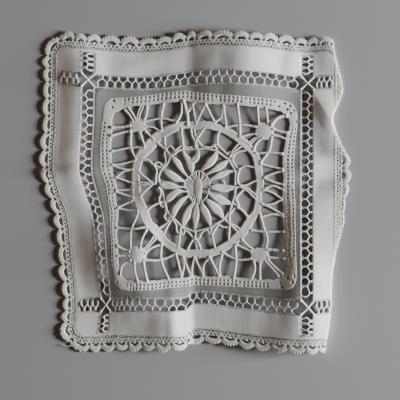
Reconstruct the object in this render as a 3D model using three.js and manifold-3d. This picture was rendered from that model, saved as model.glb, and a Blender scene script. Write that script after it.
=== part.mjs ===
// A square linen doily lying on a table: a hemmed linen ground with a drawn-thread band, a needle-lace
// centre let into it, and a scalloped lace edging sewn round it.
// Every piece is drawn flat, in the cloth's own pattern coordinates u (right) and v (up), and then laid:
// one mapping gives all three the pulled outline, the soft ridges and the turned-under right edge.
// Millimetres, +Z up. The cloth rests on z = 0, and the origin is under the middle of its outline.

import * as THREE from "three";
import { mergeVertices } from "three/addons/utils/BufferGeometryUtils.js";
import Module from "manifold-3d";

const wasm = await Module();
wasm.setup();

// Driving dimensions: half-widths of the nested squares, from the lace's opening out to the scallop tips.
const OPENING_HALF = 64.5;
const LACE_HALF = 72;
const BAND_INNER_HALF = 77;
const BAND_OUTER_HALF = 86;
const LINEN_HALF = 105;
const SCALLOP_HALF = 115.5;

const SHEET = 1.2; // thickness of every solid
const SEAM_GAP = 0.35; // between one piece and the next
const OUTLINE_SHIFT = { x: 1.86, y: 0.74 }; // brings the middle of the laid outline to the origin

// Drawn-thread band: two staggered rows of cells between bundled threads.
const BAND_END = 75.8; // the cells stop short of the corner webs
const BAND_CELLS = 18;
const BAND_BAR = 1.5;
const BAND_ZIGZAG = 0.9; // height of the middle zigzag line above and below the band's middle
const BAND_MARGIN = 0.5; // linen edge beside a cell
const WEB_ARM = 1.3; // thread width of the crossed web in each band corner

// Needle-lace centre.
const OPENING_CORNER = 9;
const LACE_CORNER = 10;
const FRAME_STATIONS = 10; // along each side of the lace's frame
const RING_OUTER = 49.5;
const RING_INNER = 44.5;
const PETALS = 16;
const PETAL = { inner: 9.5, outer: 29.5, width: 5.4, tip: 1.2 };
const HUB_RADIUS = 6;
const SPOKE = 1.5;
const POLYGON_RADIUS = 30;
const KNOT_RADIUS = 36.5;
const KNOT_SIZE = 1.5;
const FORK_SPREAD = 4.6; // degrees either side of a knot where its two legs meet the ring
const BAR = 1.6;
const PAD = { at: 47.5, radius: 5.2, sides: 8 };
const ROUND_STEPS = 48;
const FINEST = 0.15; // outline points closer than this are one
const LEAST_GAP = 3; // square millimetres: a smaller gap between threads is closed

// Scalloped edging.
const SCALLOPS = 20; // along each side
const CORNER_SCALLOPS = 2;
const VALLEY_HALF = 111.2;
const SCALLOP_STEPS = [0, 0.1, 0.33, 0.67, 0.9];

// How far each side of the linen square is pulled out of true, at stations along it.
const LEFT_PULL = [
  { at: -105, shift: 12 },
  { at: -80, shift: 14.5 },
  { at: -52, shift: 11.2 },
  { at: -20, shift: 8 },
  { at: 0, shift: 1.5 },
  { at: 16, shift: -2.6 },
  { at: 52, shift: -1 },
  { at: 105, shift: 0 },
];
const RIGHT_PULL = [
  { at: -105, shift: -1.5 },
  { at: 105, shift: -0.7 },
];
const TOP_PULL = [
  { at: -105, shift: 3.7 },
  { at: -50, shift: -0.7 },
  { at: -28, shift: 0 },
  { at: 0, shift: 3.7 },
  { at: 20, shift: 4.5 },
  { at: 50, shift: 2.6 },
  { at: 80, shift: -0.8 },
  { at: 105, shift: 0.7 },
];
const BOTTOM_PULL = [
  { at: -105, shift: -4.5 },
  { at: -52, shift: -3.7 },
  { at: -10, shift: -3.7 },
  { at: -3, shift: 1 },
  { at: 10, shift: 1.2 },
  { at: 32, shift: -1.5 },
  { at: 52, shift: -4 },
  { at: 80, shift: -6 },
  { at: 105, shift: -5 },
];
const PULL_FADE = { from: 40, to: 90 }; // a pull dies away towards the middle of the cloth

// Soft ridges of the cloth: middle, heading of the crest, half-length, half-width and height.
const RIDGES = [
  { u: 88, v: -38, heading: 90, long: 80, wide: 19, high: 4.2 },
  { u: 88, v: 72, heading: 115, long: 38, wide: 15, high: 3.2 },
  { u: -28, v: -80, heading: 95, long: 72, wide: 22, high: 5 },
  { u: 34, v: 90, heading: 84, long: 52, wide: 33, high: 4.6 },
  { u: -86, v: 92, heading: 95, long: 46, wide: 22, high: 4.2 },
  { u: 48, v: -96, heading: 90, long: 36, wide: 40, high: 3 },
  { u: -78, v: -40, heading: 97, long: 52, wide: 15, high: 3.6 },
  { u: -82, v: 16, heading: 0, long: 46, wide: 7, high: 1.8 },
  { u: 72, v: 14, heading: 20, long: 40, wide: 10, high: 1.6 },
];

// Right edge turned under: width turned and radius of the turn, at stations along it.
const TURN = [
  { at: -119, width: 22, radius: 1.5 },
  { at: -97, width: 17.4, radius: 1.5 },
  { at: -82, width: 15.6, radius: 1.5 },
  { at: -61, width: 14.5, radius: 1.5 },
  { at: -45, width: 13, radius: 3 },
  { at: -25, width: 13, radius: 8 },
  { at: -7, width: 12, radius: 9 },
  { at: 16, width: 0, radius: 4 },
  { at: 31, width: 6.4, radius: 1.9 },
  { at: 45, width: 12.4, radius: 1.9 },
  { at: 55, width: 14.8, radius: 1.9 },
  { at: 65, width: 10.4, radius: 1.7 },
  { at: 76, width: 7, radius: 1.5 },
  { at: 98, width: 12, radius: 1.5 },
  { at: 116, width: 15.5, radius: 1.5 },
];
const TURN_LIFT = 3.2; // height of the cloth over a full turn
const TURN_FULL = 6; // width turned at which the lift is full
const TURN_RUN = 24; // the cloth climbs to the lift over this width

// Squares that divide the hem, and distances from the linen that divide the edging, closer at the turn.
const HEM_SQUARES = [87.5, 92, 95.5, 98, 100, 102, 103.6, 105];
const EDGING_STEPS = [0.6, 2.2, 4.2, 6.2];
const BOW = 0.04; // every side of the cloth is drawn in a little at its middle

const LINEN = { color: 0xe6e2d8, roughness: 0.9, metalness: 0 };
const LACE = { color: 0xeae4d6, roughness: 0.92, metalness: 0 };
const EDGING = { color: 0xe8e3d7, roughness: 0.92, metalness: 0 };

// Laying the flat pattern

// The smooth curve through a table's column, held level past both ends.
function through(rows, column, at) {
  if (at <= rows[0].at) return rows[0][column];
  const last = rows.length - 1;
  if (at >= rows[last].at) return rows[last][column];
  const i = rows.findIndex((row) => row.at > at) - 1;
  const slope = (k) => {
    const a = rows[Math.max(k - 1, 0)];
    const b = rows[Math.min(k + 1, last)];
    return (b[column] - a[column]) / (b.at - a.at);
  };
  const span = rows[i + 1].at - rows[i].at;
  const t = (at - rows[i].at) / span;
  const ease = t * t * (3 - 2 * t);
  const level = rows[i][column] + (rows[i + 1][column] - rows[i][column]) * ease;
  const start = slope(i) * t * (1 - t) * (1 - t);
  const end = slope(i + 1) * t * t * (1 - t);
  return level + span * (start - end);
}

const fade = (s) => THREE.MathUtils.smoothstep(s, PULL_FADE.from, PULL_FADE.to);
const bell = (t) => (Math.abs(t) < 1 ? Math.cos((Math.PI / 2) * t) ** 2 : 0);

// Height of the soft ridges above the flat.
function ridgeHeight(u, v) {
  return RIDGES.reduce((sum, ridge) => {
    const heading = THREE.MathUtils.degToRad(ridge.heading);
    const along = (u - ridge.u) * Math.cos(heading) + (v - ridge.v) * Math.sin(heading);
    const across = (v - ridge.v) * Math.cos(heading) - (u - ridge.u) * Math.sin(heading);
    return sum + ridge.high * bell(along / ridge.long) * bell(across / ridge.wide);
  }, 0);
}

// The pattern column where the right edge starts to turn under.
const turnLine = (v) => SCALLOP_HALF - Math.max(0, through(TURN, "width", v));

// Where a point of the pattern's middle surface lies.
function middleAt(u, v) {
  const line = turnLine(v);
  const beyond = Math.max(0, u - line);
  const flatU = Math.min(u, line);
  const x = flatU + through(LEFT_PULL, "shift", v) * fade(-flatU) + through(RIGHT_PULL, "shift", v) * fade(flatU);
  const y = v + through(TOP_PULL, "shift", flatU) * fade(v) + through(BOTTOM_PULL, "shift", flatU) * fade(-v);
  const lift = TURN_LIFT * THREE.MathUtils.smoothstep(SCALLOP_HALF - line, 0, TURN_FULL);
  const z = ridgeHeight(flatU, v) + lift * THREE.MathUtils.smoothstep(flatU, line - TURN_RUN, line);
  const radius = through(TURN, "radius", v);
  const angle = Math.min(beyond / radius, Math.PI);
  const back = Math.max(0, beyond - Math.PI * radius);
  return new THREE.Vector3(
    x + radius * Math.sin(angle) - back + OUTLINE_SHIFT.x,
    y + OUTLINE_SHIFT.y,
    z - (z * (1 - Math.cos(angle))) / 2 + SHEET / 2,
  );
}

// Where a point w above the pattern's middle surface lies.
function lay(u, v, w) {
  const step = 0.05;
  const alongU = middleAt(u + step, v).sub(middleAt(u - step, v));
  const alongV = middleAt(u, v + step).sub(middleAt(u, v - step));
  return middleAt(u, v).addScaledVector(alongU.cross(alongV).normalize(), w);
}

// A flat solid, laid: every point moved to its place on the table.
function laid(flat) {
  const place = flat.getAttribute("position");
  const points = Array.from({ length: place.count }, (_, i) => new THREE.Vector3().fromBufferAttribute(place, i));
  const geometry = new THREE.BufferGeometry();
  geometry.setFromPoints(points.map((p) => lay(p.x, p.y, p.z - SHEET / 2)));
  geometry.setIndex(flat.index);
  geometry.computeVertexNormals();
  return geometry;
}

// Flat outlines

const point = (x, y) => new THREE.Vector2(x, y);
const polar = (radius, degrees) => {
  const a = THREE.MathUtils.degToRad(degrees);
  return point(radius * Math.cos(a), radius * Math.sin(a));
};
const turned = (p, side) => p.clone().rotateAround(point(0, 0), (side * Math.PI) / 2);
const shapeOf = (points) => new THREE.Shape(points);

// The four sides of something drawn for the top side.
const onSides = (make) => [0, 1, 2, 3].flatMap((side) => make().map((p) => turned(p, side)));

// A square with a station at every scallop's end.
function stationedSquare(half) {
  const step = (2 * half) / SCALLOPS;
  return onSides(() =>
    Array.from({ length: SCALLOPS }, (_, k) =>
      point(half - k * step, half - BOW * Math.sin((Math.PI * k) / SCALLOPS)),
    ),
  );
}

// A line at a distance from the linen's edge, round each corner on an arc, with a station at every scallop's end.
function offsetRing(distance) {
  const step = (2 * LINEN_HALF) / SCALLOPS;
  return onSides(() => {
    const arc = Array.from({ length: CORNER_SCALLOPS }, (_, k) =>
      polar(distance, (90 * k) / CORNER_SCALLOPS).add(point(LINEN_HALF, LINEN_HALF)),
    );
    const side = Array.from({ length: SCALLOPS }, (_, k) =>
      point(LINEN_HALF - k * step, LINEN_HALF + distance - BOW * Math.sin((Math.PI * k) / SCALLOPS)),
    );
    return [...arc, ...side];
  });
}

// A square with rounded corners and stations along its sides.
function roundedSquare(half, corner, bow) {
  const straight = half - corner;
  return onSides(() => {
    const arc = [0, 18, 36, 54, 72].map((a) => polar(corner, a).add(point(straight, straight)));
    const side = Array.from({ length: FRAME_STATIONS }, (_, k) => {
      const t = 1 - (2 * k) / FRAME_STATIONS;
      return point(straight * t, half + bow * (1 - t * t));
    });
    return [...arc, ...side];
  });
}

const circle = (radius, steps = ROUND_STEPS) =>
  Array.from({ length: steps }, (_, k) => polar(radius, (360 * k) / steps));

// A strip along a line of points, with a width at each.
function strip(points, widths) {
  const sides = points.map((p, i) => {
    const before = points[Math.max(i - 1, 0)];
    const after = points[Math.min(i + 1, points.length - 1)];
    const across = after.clone().sub(before).normalize().rotateAround(point(0, 0), Math.PI / 2);
    const half = widths[i] / 2;
    return [p.clone().addScaledVector(across, -half), p.clone().addScaledVector(across, half)];
  });
  return shapeOf([...sides.map((s) => s[0]), ...sides.map((s) => s[1]).reverse()]);
}

const bar = (from, to, width = BAR) => strip([from, to], [width, width]);

// A flat plan of triangles that share their corners, raised into a solid one sheet thick.
class Plan {
  constructor() {
    this.points = [];
    this.triangles = [];
  }

  // The number of the corner at a place, shared by all that fall on it.
  corner(p) {
    const found = this.points.findIndex((q) => q.distanceTo(p) < 0.001);
    return found >= 0 ? found : this.points.push(p) - 1;
  }

  // A triangle, given anticlockwise, unless its corners fall together.
  triangle(...places) {
    const corners = places.map((p) => this.corner(p));
    if (new Set(corners).size === 3) this.triangles.push(corners);
  }

  // The top face of a flat solid.
  static topOf(solid) {
    const plan = new Plan();
    const { numProp, vertProperties, triVerts } = solid.getMesh();
    const corners = (i) => [...triVerts.slice(i, i + 3)].map((k) => vertProperties.slice(k * numProp, k * numProp + 3));
    for (let i = 0; i < triVerts.length; i += 3) {
      const places = corners(i);
      if (places.every((p) => p[2] > SHEET / 2)) plan.triangle(...places.map((p) => point(p[0], p[1])));
    }
    return plan;
  }

  // An outline, given anticlockwise, with no holes.
  fill(outline) {
    for (const corners of THREE.ShapeUtils.triangulateShape(outline, [])) {
      const places = corners.map((k) => outline[k]);
      this.triangle(...(THREE.ShapeUtils.isClockWise(places) ? places.reverse() : places));
    }
    return this;
  }

  // The bands between closed lines of equally many stations, from the inside out.
  between(rings) {
    for (let r = 0; r + 1 < rings.length; r++) {
      const [inner, outer] = [rings[r], rings[r + 1]];
      inner.forEach((p, k) => {
        const next = (k + 1) % inner.length;
        this.triangle(p, outer[k], outer[next]);
        this.triangle(p, outer[next], inner[next]);
      });
    }
    return this;
  }

  // Swaps the diagonal of every pair of triangles that the other diagonal would make less narrow.
  relaxed() {
    const owner = new Map();
    const own = (t) => this.triangles[t].forEach((a, k, all) => owner.set(`${a} ${all[(k + 1) % 3]}`, t));
    const angleAt = (a, b, c) => {
      const [toA, toB] = [a, b].map((k) => this.points[k].clone().sub(this.points[c]));
      return Math.atan2(Math.abs(toA.cross(toB)), toA.dot(toB));
    };
    this.triangles.forEach((_, t) => own(t));
    const queue = [...owner.keys()];
    while (queue.length) {
      const edge = queue.pop();
      const [a, b] = edge.split(" ").map(Number);
      const [near, far] = [owner.get(edge), owner.get(`${b} ${a}`)];
      if (near === undefined || far === undefined) continue;
      const [c, d] = [near, far].map((t) => this.triangles[t].find((k) => k !== a && k !== b));
      if (angleAt(a, b, c) + angleAt(a, b, d) < Math.PI + 1e-6) continue;
      owner.delete(edge);
      owner.delete(`${b} ${a}`);
      this.triangles[near] = [a, d, c];
      this.triangles[far] = [d, b, c];
      own(near);
      own(far);
      queue.push(`${a} ${d}`, `${d} ${b}`, `${b} ${c}`, `${c} ${a}`);
    }
    return this;
  }

  // The solid: top and bottom faces, and a wall on every edge that only one triangle has.
  solid() {
    const count = this.points.length;
    const edges = new Map();
    for (const [a, b, c] of this.triangles) {
      for (const [p, q] of [[a, b], [b, c], [c, a]]) {
        if (!edges.delete(`${q} ${p}`)) edges.set(`${p} ${q}`, [p, q]);
      }
    }
    const faces = this.triangles.flatMap(([a, b, c]) => [a, b, c, a + count, c + count, b + count]);
    const rank = (k) => this.points[k].y + this.points[k].x / 3;
    for (const [p, q] of edges.values()) {
      // Both walls of a seam are split by the same diagonal, so that they stay apart where the cloth turns.
      if (rank(p) < rank(q)) faces.push(p, p + count, q + count, p, q + count, q);
      else faces.push(p, p + count, q, q, p + count, q + count);
    }
    const levels = [SHEET, 0].flatMap((z) => this.points.map((p) => new THREE.Vector3(p.x, p.y, z)));
    const geometry = new THREE.BufferGeometry().setFromPoints(levels);
    geometry.setIndex(faces);
    return geometry;
  }
}

// A flat solid of one outline, for joining and cutting.
function solidOf(shape) {
  const made = new THREE.ExtrudeGeometry(shape, { depth: SHEET, bevelEnabled: false, curveSegments: 1 });
  made.deleteAttribute("normal");
  made.deleteAttribute("uv");
  const merged = mergeVertices(made, 1e-4);
  return new wasm.Manifold(
    new wasm.Mesh({
      numProp: 3,
      vertProperties: new Float32Array(merged.getAttribute("position").array),
      triVerts: new Uint32Array(merged.index.array),
    }),
  );
}

// The plan of an outline with gaps cut out of it.
function cutOut(outline, gaps) {
  const whole = solidOf(shapeOf(outline));
  return Plan.topOf(gaps.reduce((left, gap) => left.subtract(solidOf(shapeOf(gap))), whole)).relaxed();
}

// The closed outlines of a flat solid's top face: the outermost, and then the gaps.
function outlinesOf(solid) {
  const { numProp, vertProperties, triVerts } = solid.getMesh();
  const height = (k) => vertProperties[k * numProp + 2];
  const next = new Map();
  for (let i = 0; i < triVerts.length; i += 3) {
    const corners = [...triVerts.slice(i, i + 3)];
    if (corners.some((k) => height(k) < SHEET / 2)) continue;
    corners.forEach((a, k) => {
      const b = corners[(k + 1) % 3];
      if (next.get(b)?.delete(a)) return;
      next.set(a, (next.get(a) ?? new Set()).add(b));
    });
  }
  const outlines = [];
  for (const [start, ends] of next) {
    while (ends.size) {
      const outline = [];
      let k = start;
      do {
        outline.push(point(vertProperties[k * numProp], vertProperties[k * numProp + 1]));
        const [after] = next.get(k);
        next.get(k).delete(after);
        k = after;
      } while (k !== start);
      outlines.push(outline.filter((p, i) => p.distanceTo(outline.at(i - 1)) > FINEST));
    }
  }
  const wide = outlines.filter((outline) => Math.abs(THREE.ShapeUtils.area(outline)) > LEAST_GAP);
  return wide.sort((a, b) => THREE.ShapeUtils.area(b) - THREE.ShapeUtils.area(a));
}

// Linen ground

// The cells of the band along the top side: five-cornered, point to point across the zigzag.
function bandCells() {
  const pitch = (2 * BAND_END) / BAND_CELLS;
  const middle = (BAND_INNER_HALF + BAND_OUTER_HALF) / 2;
  const half = pitch / 2 - BAND_BAR / 2;
  const clear = BAND_BAR / 2;
  const cell = (centre, way) => {
    const edge = (way > 0 ? BAND_OUTER_HALF : BAND_INNER_HALF) - way * BAND_MARGIN;
    const shoulder = middle + way * (BAND_ZIGZAG * 0.6 + clear);
    const tip = middle + way * (clear - BAND_ZIGZAG);
    return [
      point(centre - half, edge),
      point(centre + half, edge),
      point(centre + half, shoulder),
      point(centre, tip),
      point(centre - half, shoulder),
    ];
  };
  const cells = [];
  for (let k = 0; k < BAND_CELLS; k++) {
    const start = -BAND_END + k * pitch;
    cells.push(cell(start + pitch / 2, 1));
    if (k > 0) cells.push(cell(start, -1));
  }
  return cells;
}

// The four openings between the crossed threads where two bands meet.
function cornerWeb() {
  const middle = (BAND_INNER_HALF + BAND_OUTER_HALF) / 2;
  const reach = (BAND_OUTER_HALF - BAND_INNER_HALF) / 2;
  const kite = [
    point(0, WEB_ARM * 0.7),
    point(reach - WEB_ARM * 0.7, reach),
    point(0, reach + WEB_ARM * 0.3),
    point(WEB_ARM * 0.7 - reach, reach),
  ];
  return [0, 1, 2, 3].map((side) => kite.map((p) => turned(p, side).add(point(middle, middle))));
}

function linenGround() {
  const gaps = [roundedSquare(LACE_HALF + SEAM_GAP, LACE_CORNER, BOW)];
  for (let side = 0; side < 4; side++) {
    const cut = [...bandCells(), ...cornerWeb()];
    gaps.push(...cut.map((gap) => gap.map((p) => turned(p, side))));
  }
  const squares = HEM_SQUARES.map(stationedSquare);
  return cutOut(squares[0], gaps).between(squares).solid();
}

// Needle-lace centre

const onRing = (degrees) => polar((RING_INNER + RING_OUTER) / 2, degrees);
const onRingAt = (x) => point(x, Math.sqrt(((RING_INNER + RING_OUTER) / 2) ** 2 - x * x));
const onFrame = (x) => point(x, OPENING_HALF + 1);

function laceFrame() {
  const frame = shapeOf(roundedSquare(LACE_HALF, LACE_CORNER, -BOW));
  frame.holes = [new THREE.Path(roundedSquare(OPENING_HALF, OPENING_CORNER, BOW))];
  return frame;
}

function laceRing() {
  const ring = shapeOf(circle(RING_OUTER));
  ring.holes = [new THREE.Path(circle(RING_INNER))];
  return ring;
}

// One sixteenth of the wheel: a leaf on its spoke, an edge of the thread polygon, and a forked bar to the ring.
function wheelParts(k) {
  const step = 360 / PETALS;
  const angle = k * step;
  const at = (share) => polar(PETAL.inner + (PETAL.outer - PETAL.inner) * share, angle);
  const leaf = strip(
    [at(0), at(0.3), at(0.6), at(1)],
    [PETAL.tip, PETAL.width * 0.8, PETAL.width, PETAL.tip],
  );
  const knot = polar(KNOT_RADIUS, angle);
  return [
    leaf,
    bar(polar(HUB_RADIUS - 1, angle), at(0.1), SPOKE),
    bar(polar(POLYGON_RADIUS, angle), polar(POLYGON_RADIUS, angle + step)),
    bar(polar(PETAL.outer - 2, angle), knot),
    shapeOf(circle(KNOT_SIZE, 6).map((p) => p.add(knot))),
    bar(knot, onRing(angle - FORK_SPREAD)),
    bar(knot, onRing(angle + FORK_SPREAD)),
  ];
}

// Zigzag and upright bars between the ring and the top side of the frame.
function sideParts() {
  const feet = [-18, -9, 0, 9, 18];
  const heads = [-13.5, -4.5, 4.5, 13.5];
  const zigzag = heads.flatMap((x, i) => [
    bar(onFrame(feet[i]), onRingAt(x)),
    bar(onRingAt(x), onFrame(feet[i + 1])),
  ]);
  const uprights = [-29, 29].map((x) => bar(onFrame(x), onRingAt(x)));
  return [...zigzag, ...uprights];
}

// A woven pad in the upper right corner of the opening, with its legs to the frame and the ring.
function padParts() {
  const centre = point(PAD.at, PAD.at);
  const frame = OPENING_HALF + 1;
  const corner = OPENING_HALF - 1.5;
  const legs = [point(corner, corner), onRing(45), onRing(35), onRing(55)];
  const flank = [point(PAD.at - 2.6, frame), point(PAD.at + 3, frame), onRingAt(17)];
  const mirrored = flank.map((p) => point(p.y, p.x));
  return [
    shapeOf(circle(PAD.radius, PAD.sides).map((p) => p.add(centre))),
    ...[...legs, ...flank, ...mirrored].map((end) => {
      const away = end.clone().sub(centre).setLength(PAD.radius * 0.55);
      return bar(centre.clone().add(away), end);
    }),
  ];
}

function laceCentre() {
  const moved = (shape, side) => shapeOf(shape.getPoints().map((p) => turned(p, side)));
  const parts = [laceFrame(), laceRing(), shapeOf(circle(HUB_RADIUS, 16))];
  for (let k = 0; k < PETALS; k++) parts.push(...wheelParts(k));
  for (let side = 0; side < 4; side++) {
    parts.push(...[...sideParts(), ...padParts()].map((shape) => moved(shape, side)));
  }
  const joined = parts.map(solidOf).reduce((whole, part) => whole.add(part));
  const [outline, ...gaps] = outlinesOf(joined);
  return cutOut(outline, gaps).solid();
}

// Scalloped edging

// One scallop beyond the valley line, from station to station, as a fan of its outline's points.
function scallop(from, to, outward) {
  const rise = (t) => (SCALLOP_HALF - VALLEY_HALF) * Math.sin(Math.PI * t) ** 0.6;
  const arch = SCALLOP_STEPS.map((t) => {
    const foot = from.clone().lerp(to, t);
    return foot.addScaledVector(outward(t), rise(t));
  });
  return [...arch, to];
}

function laceEdging() {
  const rings = EDGING_STEPS.map(offsetRing);
  const valley = rings[rings.length - 1];
  const plan = new Plan().between(rings);
  const perSide = SCALLOPS + CORNER_SCALLOPS;
  valley.forEach((from, k) => {
    const to = valley[(k + 1) % valley.length];
    const side = Math.floor(k / perSide);
    const inSide = k % perSide;
    const fan = 90 / CORNER_SCALLOPS;
    const angle = (t) => 90 * side + Math.min(90, fan * (inSide + (inSide < CORNER_SCALLOPS ? t : 0)));
    plan.fill(scallop(from, to, (t) => polar(1, angle(t))));
  });
  return plan.solid();
}

// Assembly

function piece(name, flat, finish) {
  const mesh = new THREE.Mesh(laid(flat), new THREE.MeshStandardMaterial(finish));
  mesh.name = name;
  return mesh;
}

const doily = new THREE.Group();
doily.add(
  piece("linen_ground", linenGround(), LINEN),
  piece("lace_centre", laceCentre(), LACE),
  piece("lace_edging", laceEdging(), EDGING),
);

export default doily;
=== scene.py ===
"""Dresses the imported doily: linen with drawn-thread work, a needle-lace centre and a scalloped edging."""

import logging
import math
from dataclasses import dataclass
from enum import Enum
from typing import Callable, Sequence

import bmesh
import bpy
import numpy as np
from mathutils import Matrix, Vector


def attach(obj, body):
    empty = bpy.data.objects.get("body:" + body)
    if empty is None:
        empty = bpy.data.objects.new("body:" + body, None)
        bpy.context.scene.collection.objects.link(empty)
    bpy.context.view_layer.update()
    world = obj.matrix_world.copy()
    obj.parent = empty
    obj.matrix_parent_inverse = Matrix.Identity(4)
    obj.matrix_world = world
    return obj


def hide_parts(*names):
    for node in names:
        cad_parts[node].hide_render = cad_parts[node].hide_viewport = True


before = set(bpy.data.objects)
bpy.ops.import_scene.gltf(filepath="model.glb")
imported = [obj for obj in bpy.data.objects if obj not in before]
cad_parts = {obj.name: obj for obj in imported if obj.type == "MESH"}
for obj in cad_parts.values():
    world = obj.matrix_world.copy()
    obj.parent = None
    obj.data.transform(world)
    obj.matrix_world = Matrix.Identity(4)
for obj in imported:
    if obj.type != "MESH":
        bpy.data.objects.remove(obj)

log = logging.getLogger("doily")

Point = tuple[float, float]
Line = tuple[Point, ...]
Bar = tuple[float, Line]
Hole = tuple[int, int, int]
Colour = tuple[float, float, float]
Array = np.ndarray
Rng = np.random.Generator
Work = bmesh.types.BMesh
Piece = bpy.types.Object
Socket = bpy.types.NodeSocket

MM = 0.001
SEED = 7

# Flat places, in millimetres from the doily's middle.
BAND_INNER_HALF = 77.0
BAND_OUTER_HALF = 86.0
HEM_RUN_END = 102.0
LINEN_HALF = 105.0
SCALLOP_HALF = 115.5

# The linen's corner radius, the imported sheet's thickness and how far work may stand towards the table.
LINEN_CORNER = 8.0
SHEET = 1.2
PRESSED = 0.55

# How near corners of flat work are joined, in millimetres.
WELD = 0.02

# Millimetres in a pixel of the picture, and the pixel over the doily's middle.
PIXEL = 0.75
PICTURE_MIDDLE = (197.0, 191.0)

# The cloth's flat map, and the millimetres in one unit of it.
CLOTH_UV = "cloth"
MAP_UNIT = 100.0


class Node(str, Enum):
    """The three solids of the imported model."""

    LINEN = "linen_ground"
    CENTRE = "lace_centre"
    EDGING = "lace_edging"


class Slot(str, Enum):
    """The record's finishes."""

    LINEN = "linen"
    CENTRE = "centre_thread"
    EDGING = "edging_thread"


def ease(value: Array, low: float | Array, high: float | Array) -> Array:
    """Rises smoothly from 0 at low to 1 at high."""
    t = np.clip((value - low) / (high - low), 0.0, 1.0)
    return t * t * (3 - 2 * t)


def through(rows: Line, at: Array) -> Array:
    """Runs a smooth line through stations, level past the ends.

    Args:
        rows: The stations, each a place and a value.
        at: The places to read.

    Returns:
        The value at each place.
    """
    places, values = np.array(rows, dtype=float).T
    count = len(places)
    before = np.maximum(np.arange(count) - 1, 0)
    after = np.minimum(np.arange(count) + 1, count - 1)
    slope = (values[after] - values[before]) / (places[after] - places[before])
    at = np.clip(at, places[0], places[-1])
    i = np.clip(np.searchsorted(places, at, side="right") - 1, 0, count - 2)
    span = places[i + 1] - places[i]
    t = (at - places[i]) / span
    level = values[i] + (values[i + 1] - values[i]) * t * t * (3 - 2 * t)
    return level + span * (slope[i] * t * (1 - t) ** 2 - slope[i + 1] * t * t * (1 - t))


def turned(flat: Array, side: int) -> Array:
    """Turns flat work drawn for the top side to another side.

    Args:
        flat: Rows that start with u, v.
        side: Quarter turns from the top.

    Returns:
        The turned rows.
    """
    c, s = ((1, 0), (0, 1), (-1, 0), (0, -1))[side % 4]
    out = flat.copy()
    out[:, 0] = c * flat[:, 0] - s * flat[:, 1]
    out[:, 1] = s * flat[:, 0] + c * flat[:, 1]
    return out


@dataclass(frozen=True)
class Ridge:
    """A long low rise of the cloth, in millimetres and degrees. Its right side may have its own width."""

    u: float
    v: float
    heading: float
    long: float
    wide: float
    high: float
    right: float = 0.0

    def height(self, u: Array, v: Array) -> Array:
        """Gives the rise at flat places.

        Args:
            u: Flat places across.
            v: Flat places along.

        Returns:
            The rise at each place.
        """
        c, s = math.cos(math.radians(self.heading)), math.sin(math.radians(self.heading))
        along = ((u - self.u) * c + (v - self.v) * s) / self.long
        across = (v - self.v) * c - (u - self.u) * s
        across = across / np.where(across > 0, self.wide, self.right or self.wide)
        bell = [np.where(np.abs(t) < 1, np.cos(np.pi / 2 * t) ** 2, 0.0) for t in (along, across)]
        return self.high * bell[0] * bell[1]


@dataclass(frozen=True)
class Crease:
    """A sharp fold line that stands up, steeper on one side, in millimetres."""

    start: Point
    end: Point
    high: float
    left: float
    right: float
    rising: Point = (-0.12, 0.35)
    falling: Point = (0.9, 1.2)

    def height(self, u: Array, v: Array) -> Array:
        """Gives the rise at flat places.

        Args:
            u: Flat places across.
            v: Flat places along.

        Returns:
            The rise at each place.
        """
        a, b = np.array(self.start, dtype=float), np.array(self.end, dtype=float)
        length = np.linalg.norm(b - a)
        run = (b - a) / length
        along = ((u - a[0]) * run[0] + (v - a[1]) * run[1]) / length
        across = (v - a[1]) * run[0] - (u - a[0]) * run[1]
        slope = np.clip(1 - np.where(across > 0, across / self.left, -across / self.right), 0, 1)
        return self.high * slope * ease(along, *self.rising) * (1 - ease(along, *self.falling))


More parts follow.
